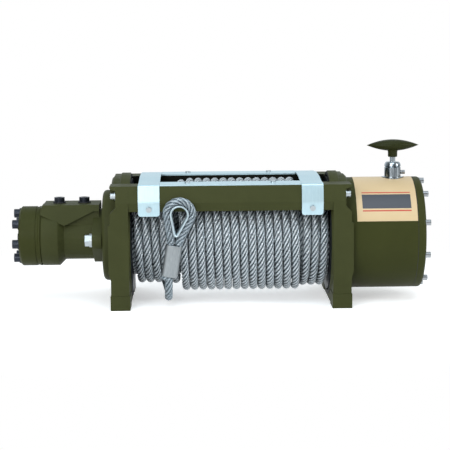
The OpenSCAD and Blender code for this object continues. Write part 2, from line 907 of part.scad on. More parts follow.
// Two-bolt flange: round middle and lugs joined by tangents
module flange_outline() {
    half = motor_bolt_pitch / 2;
    a = acos((motor_flange_r - motor_lug_r) / half);
    big = motor_flange_r * [cos(a), sin(a)];
    small = [half, 0] + motor_lug_r * [cos(a), sin(a)];
    circle(r = motor_flange_r, $fn = arc_sides);
    polygon([for (s = [[1, 1], [-1, 1], [-1, -1], [1, -1]],
        p = s[0] * s[1] > 0 ? [small, big] : [big, small])
        [s[0] * p[0], s[1] * p[1]]]);
    for (side = [-1, 1])
        translate([side * half, 0])
            circle(r = motor_lug_r, $fn = circle_sides);
}

// Port block: a rib up to the ports, with a wedge that ends in a V in front
module port_block() {
    plate_x(valve_x, motor_x - valve_x - port_back) polygon([
        [-port_rib_r * cos(port_rib_angle), port_rib_r * sin(port_rib_angle)],
        [port_round - port_low_half * port_rib_share, port_face_h - port_round],
        [port_low_half * port_rib_share - port_round, port_face_h - port_round],
        [port_rib_r * cos(port_rib_angle), port_rib_r * sin(port_rib_angle)], [0, 0]
    ]);
    intersection() {
        plate_x(valve_x, motor_x - valve_x - port_back) polygon([
            [-port_low_half, port_low_h], [-port_top_half, port_face_h],
            [port_top_half, port_face_h], [port_low_half, port_low_h],
            [0, 0]
        ]);
        on_axis() rotate([90, 0, 0])
            linear_extrude(4 * port_low_half, center = true) polygon([
                [valve_x, port_low_h + port_rise],
                [valve_x + port_round, port_face_h],
                [motor_x - port_back, port_face_h],
                [motor_x - port_back, port_face_h - port_thin],
                [port_mid_x + port_slope, port_face_h - port_thin],
                [port_mid_x, port_low_h]
            ]);
    }
}

// Places of the two ports, Z outward from the port face
module port_places()
    for (x = [0, 1] * port_pitch)
        on_axis() translate([valve_x + port_first + x, 0, port_face_h])
            children();

module port_plugs()
    color(black) port_places() {
        difference() {
            translate([0, 0, port_seal_t])
                cylinder(h = port_head_h, d = port_head_d,
                    $fn = circle_sides);
            translate([0, 0, port_seal_t + port_head_h / 2])
                cylinder(h = port_head_h, d = port_socket_d, $fn = 6);
        }
        translate([0, 0, -port_depth + axial_gap])
            cylinder(h = port_depth - axial_gap + port_seal_t + fit_gap,
                r = port_bore_d / 2 - fit_gap, $fn = circle_sides);
    }

module port_seals()
    color(black) port_places()
        difference() {
            cylinder(h = port_seal_t, d = port_seal_d, $fn = circle_sides);
            translate([0, 0, -overrun])
                cylinder(h = port_seal_t + 2 * overrun, d = port_bore_d,
                    $fn = circle_sides);
        }

// Turns children about the axis to motor bolt k, then out to its circle
module motor_bolt_place(k)
    on_axis() rotate([motor_bolt_angle + 360 * k / motor_bolt_count, 0, 0])
        translate([0, motor_bolt_r, -axis_z]) children();

// Round plate of the motor with its bolt holes and edge chamfers
module motor_plate(x, l, r, edge)
    difference() {
        revolved([
            [0, x], [r - edge, x],
            [r - edge * edge_lean_share, x + edge * (1 - edge_lean_share)],
            [r, x + edge], [r, x + l], [0, x + l]
        ]);
        for (k = [0:motor_bolt_count - 1])
            motor_bolt_place(k)
                bar_x(x - overrun, l + 2 * overrun,
                    motor_bolt_d / 2 + fit_gap);
    }

module motor_wear_plate()
    color(olive) motor_plate(wear_x, wear_plate_t, valve_r, orbit_step);

module orbit_ring()
    color(olive) motor_plate(orbit_x, orbit_w, valve_r - orbit_step,
        orbit_step / 2);

module motor_end_cover()
    color(olive) motor_plate(end_cover_x, end_cover_w, valve_r, motor_edge);

module motor_cover_bolts()
    color(black) for (k = [0:motor_bolt_count - 1])
        motor_bolt_place(k) {
            l = valve_x + motor_bolt_grip - end_cover_x - axial_gap;
            translate([2 * (end_cover_x - motor_washer_t), 0, 0])
                mirror([1, 0, 0])
                    cap_screw(end_cover_x - motor_washer_t, l, motor_bolt_d,
                        motor_head_d, motor_head_h, motor_socket_d, 0, 0);
            difference() {
                bar_x(end_cover_x - motor_washer_t, motor_washer_t,
                    motor_washer_d / 2);
                bar_x(end_cover_x - motor_washer_t - overrun,
                    motor_washer_t + 2 * overrun,
                    motor_bolt_d / 2 + fit_gap);
            }
        }

module motor_flange_bolts()
    color(zinc) for (side = [-1, 1]) {
        y = side * motor_bolt_pitch / 2;
        seat = motor_x - motor_flange_t;
        head = seat - flange_washer_t;
        bar_x(head - flange_head_h, flange_head_h,
            flange_bolt_af / 2 / cos(30), y, 0, 6);
        difference() {
            bar_x(head, flange_washer_t, flange_washer_d / 2, y);
            bar_x(head - overrun, flange_washer_t + 2 * overrun,
                flange_bolt_d / 2 + fit_gap, y);
        }
        bar_x(head - fit_gap, flange_washer_t + motor_flange_t
            + flange_bolt_l - axial_gap + fit_gap, flange_bolt_d / 2, y);
    }

// Gear housing: a cup, open at the outer end, with a seat for the clutch
module gear_housing()
    color(olive) difference() {
        revolved([
            [end_wall_bore_r, sup_out_x], [house_r, sup_out_x],
            [house_r, house_end_x], [house_bore_r, house_end_x],
            [house_bore_r, sup_out_x + end_wall_t],
            [end_wall_bore_r, sup_out_x + end_wall_t]
        ]);
        on_axis() translate([clutch_x, 0, clutch_seat_h])
            cylinder(h = clutch_base_r, r = clutch_base_r + free_gap,
                $fn = circle_sides);
        on_axis() translate([clutch_x, 0, house_bore_r - clutch_base_r])
            cylinder(h = house_r, r = clutch_spigot_r + fit_gap,
                $fn = circle_sides);
        around_axis(cover_screw_count, cover_screw_angle)
            bar_x(cover_in_x - cover_screw_h, cover_screw_h,
                cover_screw_d / 2 + fit_gap, cover_screw_r);
    }

// Outer end cover with a rounded edge and a boss for the shaft end
module gear_end_cover()
    color(olive) difference() {
        revolved(concat(
            [[0, cover_in_x - end_boss_h], [end_boss_r, cover_in_x - end_boss_h],
                [end_boss_r, cover_in_x], [house_r, cover_in_x]],
            [for (a = [0:15:90])
                [house_r - cover_round * (1 - cos(a)),
                    house_out_x - cover_round * (1 - sin(a))]],
            [[0, house_out_x]]));
        bar_x(cover_in_x - end_boss_h - overrun,
            end_boss_h + overrun, end_bush_r + fit_gap);
        around_axis(cover_screw_count, cover_screw_angle) {
            bar_x(cover_in_x - overrun, cover_t + 2 * overrun,
                cover_screw_d / 2 + fit_gap, cover_screw_r);
            bar_x(cover_seat_x, cover_t, cover_washer_d / 2 + free_gap,
                cover_screw_r);
        }
    }

module gear_cover_gasket()
    color(black) difference() {
        revolved([
            [house_bore_r, house_end_x], [house_r - free_gap, house_end_x],
            [house_r - free_gap, cover_in_x], [house_bore_r, cover_in_x]
        ]);
        around_axis(cover_screw_count, cover_screw_angle)
            bar_x(house_end_x - overrun, gasket_t + 2 * overrun,
                cover_screw_d / 2 + fit_gap, cover_screw_r);
    }

module gear_cover_screws()
    color(zinc) around_axis(cover_screw_count, cover_screw_angle) {
        cap_screw(cover_seat_x + cover_washer_t, cover_t + cover_screw_h
            - 2 * axial_gap, cover_screw_d, cover_head_d, cover_head_h,
            cover_socket_d, cover_screw_r, 0);
        difference() {
            bar_x(cover_seat_x, cover_washer_t, cover_washer_d / 2,
                cover_screw_r);
            bar_x(cover_seat_x - overrun, cover_washer_t + 2 * overrun,
                cover_screw_d / 2 + fit_gap, cover_screw_r);
        }
    }

// Ring gear at x, with tooth spaces cut into its bore
module ring_gear(x, l)
    plate_x(x, l) difference() {
        circle(r = house_bore_r - fit_gap, $fn = arc_sides);
        polygon(gear_points(ring_teeth, ring_pitch_r + tooth_m * root_share,
            ring_pitch_r - tooth_m, -tooth_thin));
    }

module output_ring_gear()
    color(steel) ring_gear(out_gear_x - ring_over, out_gear_w + 2 * ring_over);

// The first stage's ring gear, with notches for the clutch plunger
module input_ring_gear()
    color(steel) difference() {
        ring_gear(in_gear_x - ring_over, in_gear_w + 2 * ring_over);
        around_axis(notches)
            on_axis() translate([clutch_x, 0, house_bore_r - notch_depth])
                cylinder(h = 2 * notch_depth, d = notch_d,
                    $fn = circle_sides);
    }

// Planet gear k of three at x, on the circle of the pins
module planet(x, l, k)
    on_axis() rotate([360 * k / planets, 0, 0])
        translate([x, centre_r, 0]) along_x()
            linear_extrude(l) difference() {
                rotate(-360 * k / planets * ring_teeth / planet_teeth)
                    polygon(gear_points(planet_teeth, planet_r + tooth_m,
                        planet_r - tooth_m * root_share, tooth_thin));
                circle(d = pin_d + 2 * fit_gap, $fn = circle_sides);
            }

// Sun gear with a space towards the first planet
module sun(x, l, bore)
    plate_x(x, l) difference() {
        rotate(half_turn_angle / sun_teeth)
            polygon(gear_points(sun_teeth, sun_r + tooth_m,
                sun_r - tooth_m * root_share, tooth_thin));
        circle(r = bore, $fn = circle_sides);
    }

// Carrier cage: two plates joined by bridges between the planets
module carrier(plate_at, gear_w, bore) {
    back_at = plate_at + plate_a_t + gear_w + 2 * axial_gap;
    difference() {
        union() {
            bar_x(plate_at, plate_a_t, plate_r, 0, 0, arc_sides);
            bar_x(back_at, plate_b_t, plate_r, 0, 0, arc_sides);
            around_axis(planets, half_turn_angle / planets)
                bar_x(plate_at + plate_a_t - fit_gap,
                    back_at - plate_at - plate_a_t + 2 * fit_gap,
                    bridge_r, bridge_centre_r);
        }
        bar_x(plate_at - overrun, plate_a_t + 2 * overrun, bore);
        bar_x(back_at - overrun, plate_b_t + 2 * overrun, plate_bore_r);
        around_axis(planets)
            bar_x(plate_at - overrun, back_at - plate_at + plate_b_t
                + 2 * overrun, pin_d / 2, centre_r);
    }
}

// Three planet pins across a carrier whose first plate is at x
module planet_pins(x, gear_w)
    around_axis(planets)
        bar_x(x + free_gap, plate_a_t + gear_w + 2 * axial_gap + plate_b_t
            - 2 * free_gap, pin_d / 2, centre_r);

// Output carrier, with a hub pressed into the drum's journal
module output_carrier()
    color(steel) {
        carrier(out_plate_x, out_gear_w, carrier_bore_r);
        difference() {
            bar_x(out_plate_x - carrier_hub_w, carrier_hub_w + fit_gap,
                journal_bore_r);
            bar_x(out_plate_x - carrier_hub_w - overrun,
                carrier_hub_w + 2 * overrun, carrier_bore_r);
        }
    }

module output_planet_pins() color(steel) planet_pins(out_plate_x, out_gear_w);

// Input carrier with the output stage's sun gear on its hub
module input_carrier()
    color(steel) {
        carrier(in_plate_x, in_gear_w, pinion_bore_r);
        sun(out_gear_x, in_plate_x - out_gear_x + fit_gap, pinion_bore_r);
    }

module input_planet_pins() color(steel) planet_pins(in_plate_x, in_gear_w);

module output_planet_1() color(steel) planet(out_gear_x, out_gear_w, 0);

module output_planet_2() color(steel) planet(out_gear_x, out_gear_w, 1);

module output_planet_3() color(steel) planet(out_gear_x, out_gear_w, 2);

module input_planet_1() color(steel) planet(in_gear_x, in_gear_w, 0);

module input_planet_2() color(steel) planet(in_gear_x, in_gear_w, 1);

module input_planet_3() color(steel) planet(in_gear_x, in_gear_w, 2);

// Drive shaft with the input stage's sun gear cut on it
module drive_shaft()
    color(steel) {
        bar_x(shaft_start_x, cover_in_x - shaft_end_gap - shaft_start_x,
            shaft_d / 2);
        sun(in_gear_x, in_gear_w, shaft_d / 2 - fit_gap);
    }

// Sleeve that joins the motor's shaft to the drive shaft
module shaft_coupling()
    color(steel) {
        difference() {
            bar_x(coupling_x, coupling_l, coupling_r);
            bar_x(coupling_x + coupling_l / 2, coupling_l, shaft_d / 2);
        }
        bar_x(motor_x - motor_shaft_in, motor_shaft_in + coupling_x - motor_x
            + fit_gap, motor_shaft_r);
    }

module bush(x)
    revolved([
        [journal_r + fit_gap, x], [bush_r, x],
        [bush_r, x + bush_w], [journal_r + fit_gap, x + bush_w]
    ]);

// Lip seal: a case with a thin lip that runs on the journal
module seal(x)
    revolved([
        [journal_r + fit_gap, x + seal_w / 2],
        [journal_r + free_gap + seal_lip, x], [bush_r, x],
        [bush_r, x + seal_w], [journal_r + free_gap + seal_lip, x + seal_w]
    ]);

module gear_side_bush() color(brass) bush(recess_x + seal_w);

module motor_side_bush() color(brass) at_side(-1) bush(recess_x + seal_w);

module gear_side_seal() color(black) seal(recess_x);

module motor_side_seal() color(black) at_side(-1) seal(recess_x);

module shaft_end_bush()
    color(brass) revolved([
        [shaft_d / 2 + fit_gap, cover_in_x - end_boss_h],
        [end_bush_r, cover_in_x - end_boss_h],
        [end_bush_r, cover_in_x - shaft_end_gap],
        [shaft_d / 2 + fit_gap, cover_in_x - shaft_end_gap]
    ]);

// Drum: barrel, two flanges and two journals in one turned piece
module drum()
    color(dark_steel) difference() {
        revolved([for (i = [0:9]) drum_half_points(1)[i],
            for (i = [9:-1:0]) drum_half_points(-1)[i]]);
        on_axis() translate([clamp_x, 0, 0]) rotate([180, 0, 0])
            cylinder(h = barrel_r + overrun, d = clamp_screw_d,
                $fn = circle_sides);
    }

// Half outline of the drum, from the bore to the barrel, for end 1 or -1
function drum_half_points(end) = [
    [barrel_bore_r, end * (drum_half - flange_t)],
    [journal_bore_r, end * drum_half],
    [journal_bore_r, end * journal_out_x],
    [journal_r - flange_edge, end * journal_out_x],
    [journal_r, end * (journal_out_x - flange_edge)],
    [journal_r, end * flange_out_x],
    [flange_r - flange_edge, end * flange_out_x],
    [flange_r, end * (flange_out_x - flange_edge)],
    [flange_r, end * drum_half],
    [barrel_r, end * drum_half]
];

// Screw in the barrel that clamps the inner end of the rope
module rope_clamp_screw()
    color(steel) on_axis() translate([clamp_x, 0, free_gap - barrel_r])
        difference() {
            cylinder(h = barrel_wall - free_gap, d = clamp_screw_d
                - 2 * fit_gap, $fn = circle_sides);
            translate([0, 0, -overrun])
                cylinder(h = clamp_screw_d / 2, d = clamp_screw_d / 2,
                    $fn = 6);
        }

// The inner layers of rope, plain, in steps under the outer turns
module rope_core()
    color(rope_grey) revolved([
        [barrel_r + fit_gap, core_gap - drum_half],
        [under_turns(left_r), core_gap - drum_half],
        [under_turns(left_r), step_core_x],
        [under_turns(top_r), step_core_x],
        [under_turns(top_r), group_core_x],
        [under_turns(right_r), group_core_x],
        [under_turns(right_r), drum_half - core_gap],
        [barrel_r + fit_gap, drum_half - core_gap]
    ]);

top_points = straight_ends([
    for (k = [0:round((top_end_turn - top_start_turn) * turn_rings)])
        top_path(top_start_turn + k / turn_rings)
]);
right_points = straight_ends([
    for (k = [0:round((right_turns - right_start_turn) * turn_rings)])
        right_path(right_start_turn + k / turn_rings)
]);

echo(turn_gap = least_gap(top_points), end_turn_gap = least_gap(right_points));
echo(group_gap = min([for (p = top_points, q = right_points) norm(p - q)])
    - rope_d);

// The outer turns: third layer, step down and second layer, in one length
module rope_turns()
    color(rope_grey) on_axis()
        rope_solid(top_points, rope_r, turn_sides, [1, 0, 0]);

// The last turns of the layer below, which show at the gear end
module rope_end_turns()
    color(rope_grey) on_axis()
        rope_solid(right_points, rope_r, turn_sides, [1, 0, 0]);

module rope_tail()
    color(rope_grey) on_axis()
        rope_solid(tail_points(), rope_r, tail_sides, [1, 0, 0]);

// Frame of the rope's end: origin at the ferrule's foot, Z along it
module end_place()
    on_axis() translate([end_x, end_y, end_low])
        rotate([end_lean, 0, 0]) rotate([0, end_tilt, 0]) children();

module ferrule()
    color(aluminium) end_place() {
        linear_extrude(ferrule_l) ferrule_outline();
    }

module ferrule_outline() {
    for (side = [-1, 1])
        translate([side * ferrule_half, 0])
            circle(d = ferrule_t, $fn = circle_sides);
    square([2 * ferrule_half, ferrule_t], center = true);
}

module rope_eye()
    color(rope_grey) end_place()
        rope_solid(eye_points(), rope_r, eye_sides, [0, 1, 0]);

// Thimble: a grooved teardrop, its point between the two strands
module thimble()
    color(zinc) end_place() translate([0, 0, ferrule_l + eye_mid_h])
        rotate([90, 0, 0]) {
            thimble_ring(thimble_d, 0);
            for (side = [-1, 1])
                translate([0, 0, side * (thimble_d - lip_t) / 2])
                    thimble_ring(lip_t, thimble_lip);
        }

// Teardrop ring of width l whose outside stands out by lip
module thimble_ring(l, lip) {
    slope = thimble_r / thimble_point;
    linear_extrude(l, center = true) difference() {
        polygon(teardrop(thimble_r + lip, thimble_point + lip / slope));
        polygon(teardrop(thimble_r - thimble_t,
            thimble_point - thimble_t / slope));
    }
}

// Clutch body: flange, cylinder and a spigot in the housing
module clutch_body()
    color(chrome) clutch_place() rotate_extrude($fn = arc_sides) polygon([
        [clutch_bore_r, house_bore_r + axial_gap],
        [clutch_spigot_r, house_bore_r + axial_gap],
        [clutch_spigot_r, clutch_seat_h],
        [clutch_base_r, clutch_seat_h],
        [clutch_base_r, clutch_seat_h + clutch_base_h],
        [clutch_d / 2, clutch_seat_h + clutch_base_h],
        [clutch_d / 2, clutch_body_top - clutch_groove],
        [clutch_d / 2 - clutch_groove, clutch_body_top],
        [spring_room_r, clutch_body_top],
        [spring_room_r, clutch_floor],
        [clutch_bore_r, clutch_floor]
    ]);

// Frame of the clutch: Z up through the plunger, from the drum axis
module clutch_place() on_axis() translate([clutch_x, 0, 0]) children();

// Domed cap that turns on the body with the plunger
module clutch_cap()
    color(chrome) clutch_place() rotate_extrude($fn = arc_sides)
        polygon(concat(
            [[stem_d / 2 + fit_gap, clutch_body_top + fit_gap],
                [clutch_d / 2 - clutch_groove, clutch_body_top + fit_gap],
                [clutch_d / 2, clutch_body_top + clutch_groove]],
            [for (a = [0:15:90])
                [stem_d + (clutch_d / 2 - stem_d) * cos(a),
                    clutch_dome_h + (clutch_cap_top - clutch_dome_h) * sin(a)]],
            [[stem_d / 2 + fit_gap, clutch_cap_top]]));

// Plunger: round tip, collar under the spring and stem
module clutch_plunger()
    color(chrome) clutch_place() rotate_extrude($fn = circle_sides) polygon([
        [0, plunger_low],
        [plunger_d / 2 - axial_gap, plunger_low],
        [plunger_d / 2, plunger_low + axial_gap],
        [plunger_d / 2, clutch_floor + fit_gap],
        [collar_r, clutch_floor + fit_gap],
        [collar_r, clutch_floor + collar_h],
        [stem_d / 2, clutch_floor + collar_h],
        [stem_d / 2, handle_low],
        [0, handle_low]
    ]);

// Middle line of the spring, from the collar up to the cap
spring_points = [
    for (k = [0:spring_turns * spring_rings])
        let (a = 360 * k / spring_rings,
            low = clutch_floor + collar_h + spring_wire_d / 2 + fit_gap,
            high = clutch_body_top - spring_wire_d / 2 - fit_gap)
        [spring_r * cos(a), spring_r * sin(a),
            low + (high - low) * k / spring_turns / spring_rings]
];

module clutch_spring()
    color(steel) clutch_place()
        rope_solid(spring_points, spring_wire_d / 2, turn_sides, [0, 0, 1]);

// T-handle: a boat-shaped grip on a round neck
module clutch_handle()
    color(dark_olive) clutch_place() {
        intersection() {
            translate([0, 0, handle_mid]) rotate([90, 0, 0])
                linear_extrude(handle_w, center = true)
                    polygon(lens(handle_l / 2, handle_mid - neck_top
                        + fit_gap, handle_top - handle_mid));
            translate([0, 0, handle_low])
                linear_extrude(handle_top)
                    polygon(lens(handle_l / 2, handle_w / 2, handle_w / 2));
        }
        rotate_extrude($fn = circle_sides) polygon([
            [0, handle_low], [neck_d / 2 - axial_gap, handle_low],
            [neck_d / 2, handle_low + axial_gap],
            [neck_d / 2, neck_top - axial_gap],
            [neck_d / 2 + axial_gap, neck_top + 2 * axial_gap],
            [0, neck_top + 2 * axial_gap]
        ]);
    }

module clutch_detent_screw()
    color(steel) clutch_place() translate([clutch_d / 2, 0, detent_h])
        rotate([0, 90, 0]) {
            translate([0, 0, fit_gap])
                cylinder(h = detent_l, d = detent_d, $fn = circle_sides);
        }

// Printed label, a thin sheet wrapped on the gear housing
module label()
    color(cream) difference() {
        intersection() {
            revolved([
                [house_r + fit_gap, sup_out_x + label_in],
                [house_r + label_t, sup_out_x + label_in],
                [house_r + label_t, sup_out_x + label_in + label_w],
                [house_r + fit_gap, sup_out_x + label_in + label_w]
            ]);
            plate_x(sup_out_x, house_out_x - sup_out_x)
                polygon([[0, 0],
                    for (k = [0:label_steps])
                        let (a = label_low_angle + (label_high_angle
                            - label_low_angle) * k / label_steps)
                        2 * house_r * [-cos(a), sin(a)]]);
        }
        clutch_place() cylinder(h = 2 * house_r,
            r = clutch_base_r + label_gap, $fn = circle_sides);
    }

motor_end_support();
gear_end_support();
front_tie_bar();
rear_tie_bar();
tie_bar_bolts();
motor_side_strap();
gear_side_strap();
front_strip();
rear_strip();
guard_screws();
motor_housing();
motor_wear_plate();
orbit_ring();
motor_end_cover();
motor_cover_bolts();
port_plugs();
port_seals();
motor_flange_bolts();
gear_housing();
output_ring_gear();
input_ring_gear();
gear_end_cover();
gear_cover_gasket();
gear_cover_screws();
clutch_body();
clutch_cap();
clutch_plunger();
clutch_handle();
clutch_spring();
clutch_detent_screw();
label();
motor_side_bush();
gear_side_bush();
motor_side_seal();
gear_side_seal();
shaft_end_bush();
rope_tail();
ferrule();
rope_eye();
thimble();
drum();
rope_core();
rope_turns();
rope_end_turns();
rope_clamp_screw();
output_carrier();
output_planet_pins();
output_planet_1();
output_planet_2();
output_planet_3();
input_carrier();
input_planet_pins();
input_planet_1();
input_planet_2();
input_planet_3();
drive_shaft();
shaft_coupling();
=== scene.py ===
"""Looks of the hydraulic winch.

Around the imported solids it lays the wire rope, its end with ferrule and
thimble, the bent straps and the turned grip, gives every piece its finish,
and lights it in a plain studio. Lengths are in millimetres and are turned
to metres where they reach Blender.
"""

import math

import bpy
import numpy as np
from mathutils import Matrix, Vector


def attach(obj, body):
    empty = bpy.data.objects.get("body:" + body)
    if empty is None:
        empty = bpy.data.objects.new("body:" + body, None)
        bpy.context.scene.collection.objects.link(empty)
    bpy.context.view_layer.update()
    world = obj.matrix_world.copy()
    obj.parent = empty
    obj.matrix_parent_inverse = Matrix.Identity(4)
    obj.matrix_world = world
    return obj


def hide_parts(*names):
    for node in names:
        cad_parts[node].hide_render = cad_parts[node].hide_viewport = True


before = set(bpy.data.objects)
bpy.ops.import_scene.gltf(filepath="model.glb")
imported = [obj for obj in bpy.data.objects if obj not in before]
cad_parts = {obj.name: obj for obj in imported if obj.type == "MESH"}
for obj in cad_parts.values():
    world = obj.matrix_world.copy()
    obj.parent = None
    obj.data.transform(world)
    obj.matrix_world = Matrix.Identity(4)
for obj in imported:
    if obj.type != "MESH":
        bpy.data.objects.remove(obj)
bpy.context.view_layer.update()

MM = 0.001
AXIS_Z = 97.5  # height of the drum axis
CLUTCH_X = 244.0  # place of the clutch along the drum
ROPE_D = 12.0
ROPE_R = ROPE_D / 2
STRANDS = 6
STRAND_LAY = 52.0  # length in which a strand goes once round the rope
PER_STRAND = 6  # points round each strand


# Camera

PICTURE_W = 450  # pixels
FOCAL = 1450.0  # pixels
LOOK_DOWN = math.radians(8.5)
ROLL = math.radians(0.5)
DISTANCE = 2175.0  # to the drum axis
DRUM_MID_X = -46.65
# Pixels from the drum's middle to the picture's, to the right and up
DRUM_MID_PX = 26.5, 8.5


def set_camera():
    """Looks across the drum, a few degrees down on its axis.

    From the line to the drum's middle the aim turns by the pixels that lie
    between it and the picture's middle, and the picture is then rolled.
    """
    forward = Vector((0, math.cos(LOOK_DOWN), -math.sin(LOOK_DOWN)))
    up = Vector((0, math.sin(LOOK_DOWN), math.cos(LOOK_DOWN)))
    middle = Vector((DRUM_MID_X, 0, AXIS_Z))
    place = (middle - DISTANCE * forward) * MM
    right_px, up_px = DRUM_MID_PX
    aim = (forward * FOCAL + Vector((right_px, 0, 0))
           + up * up_px).normalized()
    side = aim.cross(Vector((0, 0, 1))).normalized()
    top = side.cross(aim)
    across = side * math.cos(ROLL) - top * math.sin(ROLL)
    upward = top * math.cos(ROLL) + side * math.sin(ROLL)
    data = bpy.data.cameras.new("camera")
    data.lens = data.sensor_width * FOCAL / PICTURE_W
    camera = bpy.data.objects.new("camera", data)
    camera.matrix_world = Matrix((
        (across.x, upward.x, -aim.x, place.x),
        (across.y, upward.y, -aim.y, place.y),
        (across.z, upward.z, -aim.z, place.z),
        (0, 0, 0, 1)))
    bpy.context.scene.collection.objects.link(camera)
    bpy.context.scene.camera = camera


set_camera()


# Meshes

def surface(name, points, body, around=False, along=False, caps=False,
            uv=None):
    """Piece whose faces join the points of a grid, in millimetres.

    points[i, j] runs along the piece with i and round its section with j.
    around closes j, along closes i and caps closes both ends of i.
    uv[i, j] holds one row or column more where the grid is closed.
    """
    points = np.asarray(points, float)
    rows, columns = points.shape[:2]
    i = np.arange(rows if along else rows - 1)
    j = np.arange(columns if around else columns - 1)
    i, j = (k.ravel() for k in np.meshgrid(i, j, indexing="ij"))
    corners = [(i, j), (i + 1, j), (i + 1, j + 1), (i, j + 1)]
    faces = np.stack([(a % rows) * columns + b % columns
                      for a, b in corners], 1).tolist()
    if caps:
        first = np.arange(columns)
        faces.append(first.tolist())
        faces.append((first[::-1] + (rows - 1) * columns).tolist())
    mesh = bpy.data.meshes.new(name)
    mesh.from_pydata((points.reshape(-1, 3) * MM).tolist(), [], faces)
    if uv is not None:
        layer = mesh.uv_layers.new(name="UVMap")
        flat = np.stack([uv[a, b] for a, b in corners], 1).reshape(-1, 2)
        full = np.zeros((len(mesh.loops), 2))
        full[:len(flat)] = flat
        layer.data.foreach_set("uv", full.ravel())
    mesh.polygons.foreach_set("use_smooth", [True] * len(mesh.polygons))
    mesh.validate()
    piece = bpy.data.objects.new(name, mesh)
    bpy.context.scene.collection.objects.link(piece)
    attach(piece, body)
    return piece


def on_axis(points):
    """Points given about the drum axis, in the object's own place."""
    return np.asarray(points, float) + (0, 0, AXIS_Z)


def about_axis(x, r, turns):
    """Round the drum axis: turns from the front, upwards, at radius r."""
    a = 2 * math.pi * turns
    return np.stack([x, -r * np.cos(a), r * np.sin(a)], -1)


def unit(v):
    """The same directions at length 1."""
    return v / np.linalg.norm(v, axis=-1, keepdims=True)


def even_path(points, step):
    """The same path, with its points a given step apart."""
    length = np.concatenate([[0], np.cumsum(np.linalg.norm(
        np.diff(points, axis=0), axis=1))])
    s = np.linspace(0, length[-1], max(2, round(length[-1] / step)) + 1)
    return np.stack([np.interp(s, length, points[:, k])
                     for k in range(3)], 1), s


def smooth_path(points):
    """Cubic curve through the points, with twelve points to each span.

    At each point it slopes like the line between its two neighbours, so a
    span from b to c, with a before and d after it, is the cubic in t whose
    slopes at its ends are (c - a) / 2 and (d - b) / 2.
    """
    p = np.concatenate([[2 * points[0] - points[1]], points,
                        [2 * points[-1] - points[-2]]])
    t = np.linspace(0, 1, 12, endpoint=False)[None, :, None]
    a, b, c, d = (p[k:len(p) - 3 + k, None] for k in range(4))
    q = b + t / 2 * (c - a + t * (2 * a - 5 * b + 4 * c - d
                                  + t * (3 * b - a - 3 * c + d)))
    return np.concatenate([q.reshape(-1, 3), points[-1:]])


def stranded_rope(name, path, side, body, step=3.4):
    """Wire rope: six round strands laid right-handed round a core.

    A strand's middle is a distance c, a third of the diameter, from the
    rope's middle and its radius r is a sixth, so at an angle d from a
    strand's middle the surface is at c cos d + sqrt(r^2 - c^2 sin^2 d).
    The section turns once round in each lay, and its points stand closer
    together in the grooves.
    """
    path, s = even_path(np.asarray(path, float), step)
    out = unit(np.gradient(path, axis=0))
    first = unit(np.cross(out, side))
    second = np.cross(out, first)
    share = np.linspace(-1, 1, PER_STRAND, endpoint=False)
    d = math.pi / STRANDS * np.sign(share) * np.abs(share) ** 0.8
    c, r = ROPE_D / 3, ROPE_D / 6
    reach = c * np.cos(d) + np.sqrt(
        np.maximum(r * r - (c * np.sin(d)) ** 2, 0))
    middles = np.arange(STRANDS) * 2 * math.pi / STRANDS
    phase = (middles[:, None] + d[None]).ravel()
    reach = np.tile(reach, STRANDS)
    angle = phase[None] + 2 * math.pi * s[:, None] / STRAND_LAY
    points = (path[:, None] + reach[None, :, None] * (
        np.cos(angle)[..., None] * first[:, None]
        + np.sin(angle)[..., None] * second[:, None]))
    turn = np.concatenate([phase, [phase[0] + 2 * math.pi]])
    uv = np.stack(np.broadcast_arrays(
        s[:, None] * MM, turn[None] * ROPE_R * MM), -1)
    return surface(name, points, body, around=True, caps=True, uv=uv)


# Rope

PITCH = 12.45
PER_TURN = 96  # points
DRUM_HALF = 144.0

# Third layer: place where it passes the front, radius, and its step down
TOP_FRONT_X = 93.757
TOP_R = 78.0
TOP_START = -0.23  # turns from the front
TOP_TURNS = 13
LOW_TURNS = 5.28
STEP_SHIFT = 3.871

# Turns against the gear end's flange, which lie between two layers
END_FRONT_X = 111.057
END_R = 72.5
END_START, END_STOP = -0.3, 2.14

# Crowns of the layers below: their radii and the places where they change
INNER_CROWN_R = np.array([59.2, 71.1, 65.6])
INNER_CHANGE_X = -65, 101
INNER_MEAN_R = 65.0

# Middle of the ferrule's foot about the drum axis. Up from there the rope
# end tilts to the gear end, and leans to the front by 12 mm in 107.5 mm.
END_PLACE = np.array([-89.5, -88.0, -49.0])
END_TILT = math.radians(9.5)
END_LEAN = math.atan(12 / 107.5)
FERRULE_L = 48.0
FERRULE_R = 6.4
FERRULE_HALF_FLAT = 5.4
EYE_MID = 94.5  # above the ferrule's foot
EYE_R = 18.3
RUN_X = ROPE_R + 0.1  # from the ferrule's middle to each run of the eye


def end_place(points):
    """From the rope end's own frame, Z up along it, to the object's."""
    turn = np.array(Matrix.Rotation(END_LEAN, 3, "X")
                    @ Matrix.Rotation(END_TILT, 3, "Y"))
    return on_axis(np.asarray(points) @ turn.T + END_PLACE)


def third_layer():
    """Outer turns from the gear end, then a step down to the layer below.

    The radius falls by one diameter over one turn, eased by 3 s^2 - 2 s^3.
    """
    t = np.arange(TOP_START, TOP_TURNS + LOW_TURNS, 1 / PER_TURN)
    s = np.clip(t - TOP_TURNS, 0, 1)
    s = s * s * (3 - 2 * s)
    return about_axis(TOP_FRONT_X - PITCH * t - STEP_SHIFT * s,
                      TOP_R - ROPE_D * s, t)


def end_turns():
    """Last turns of the layer below, against the gear end's flange."""
    t = np.arange(END_START, END_STOP, 1 / PER_TURN)
    return about_axis(END_FRONT_X + PITCH * t, END_R + 0 * t, t)


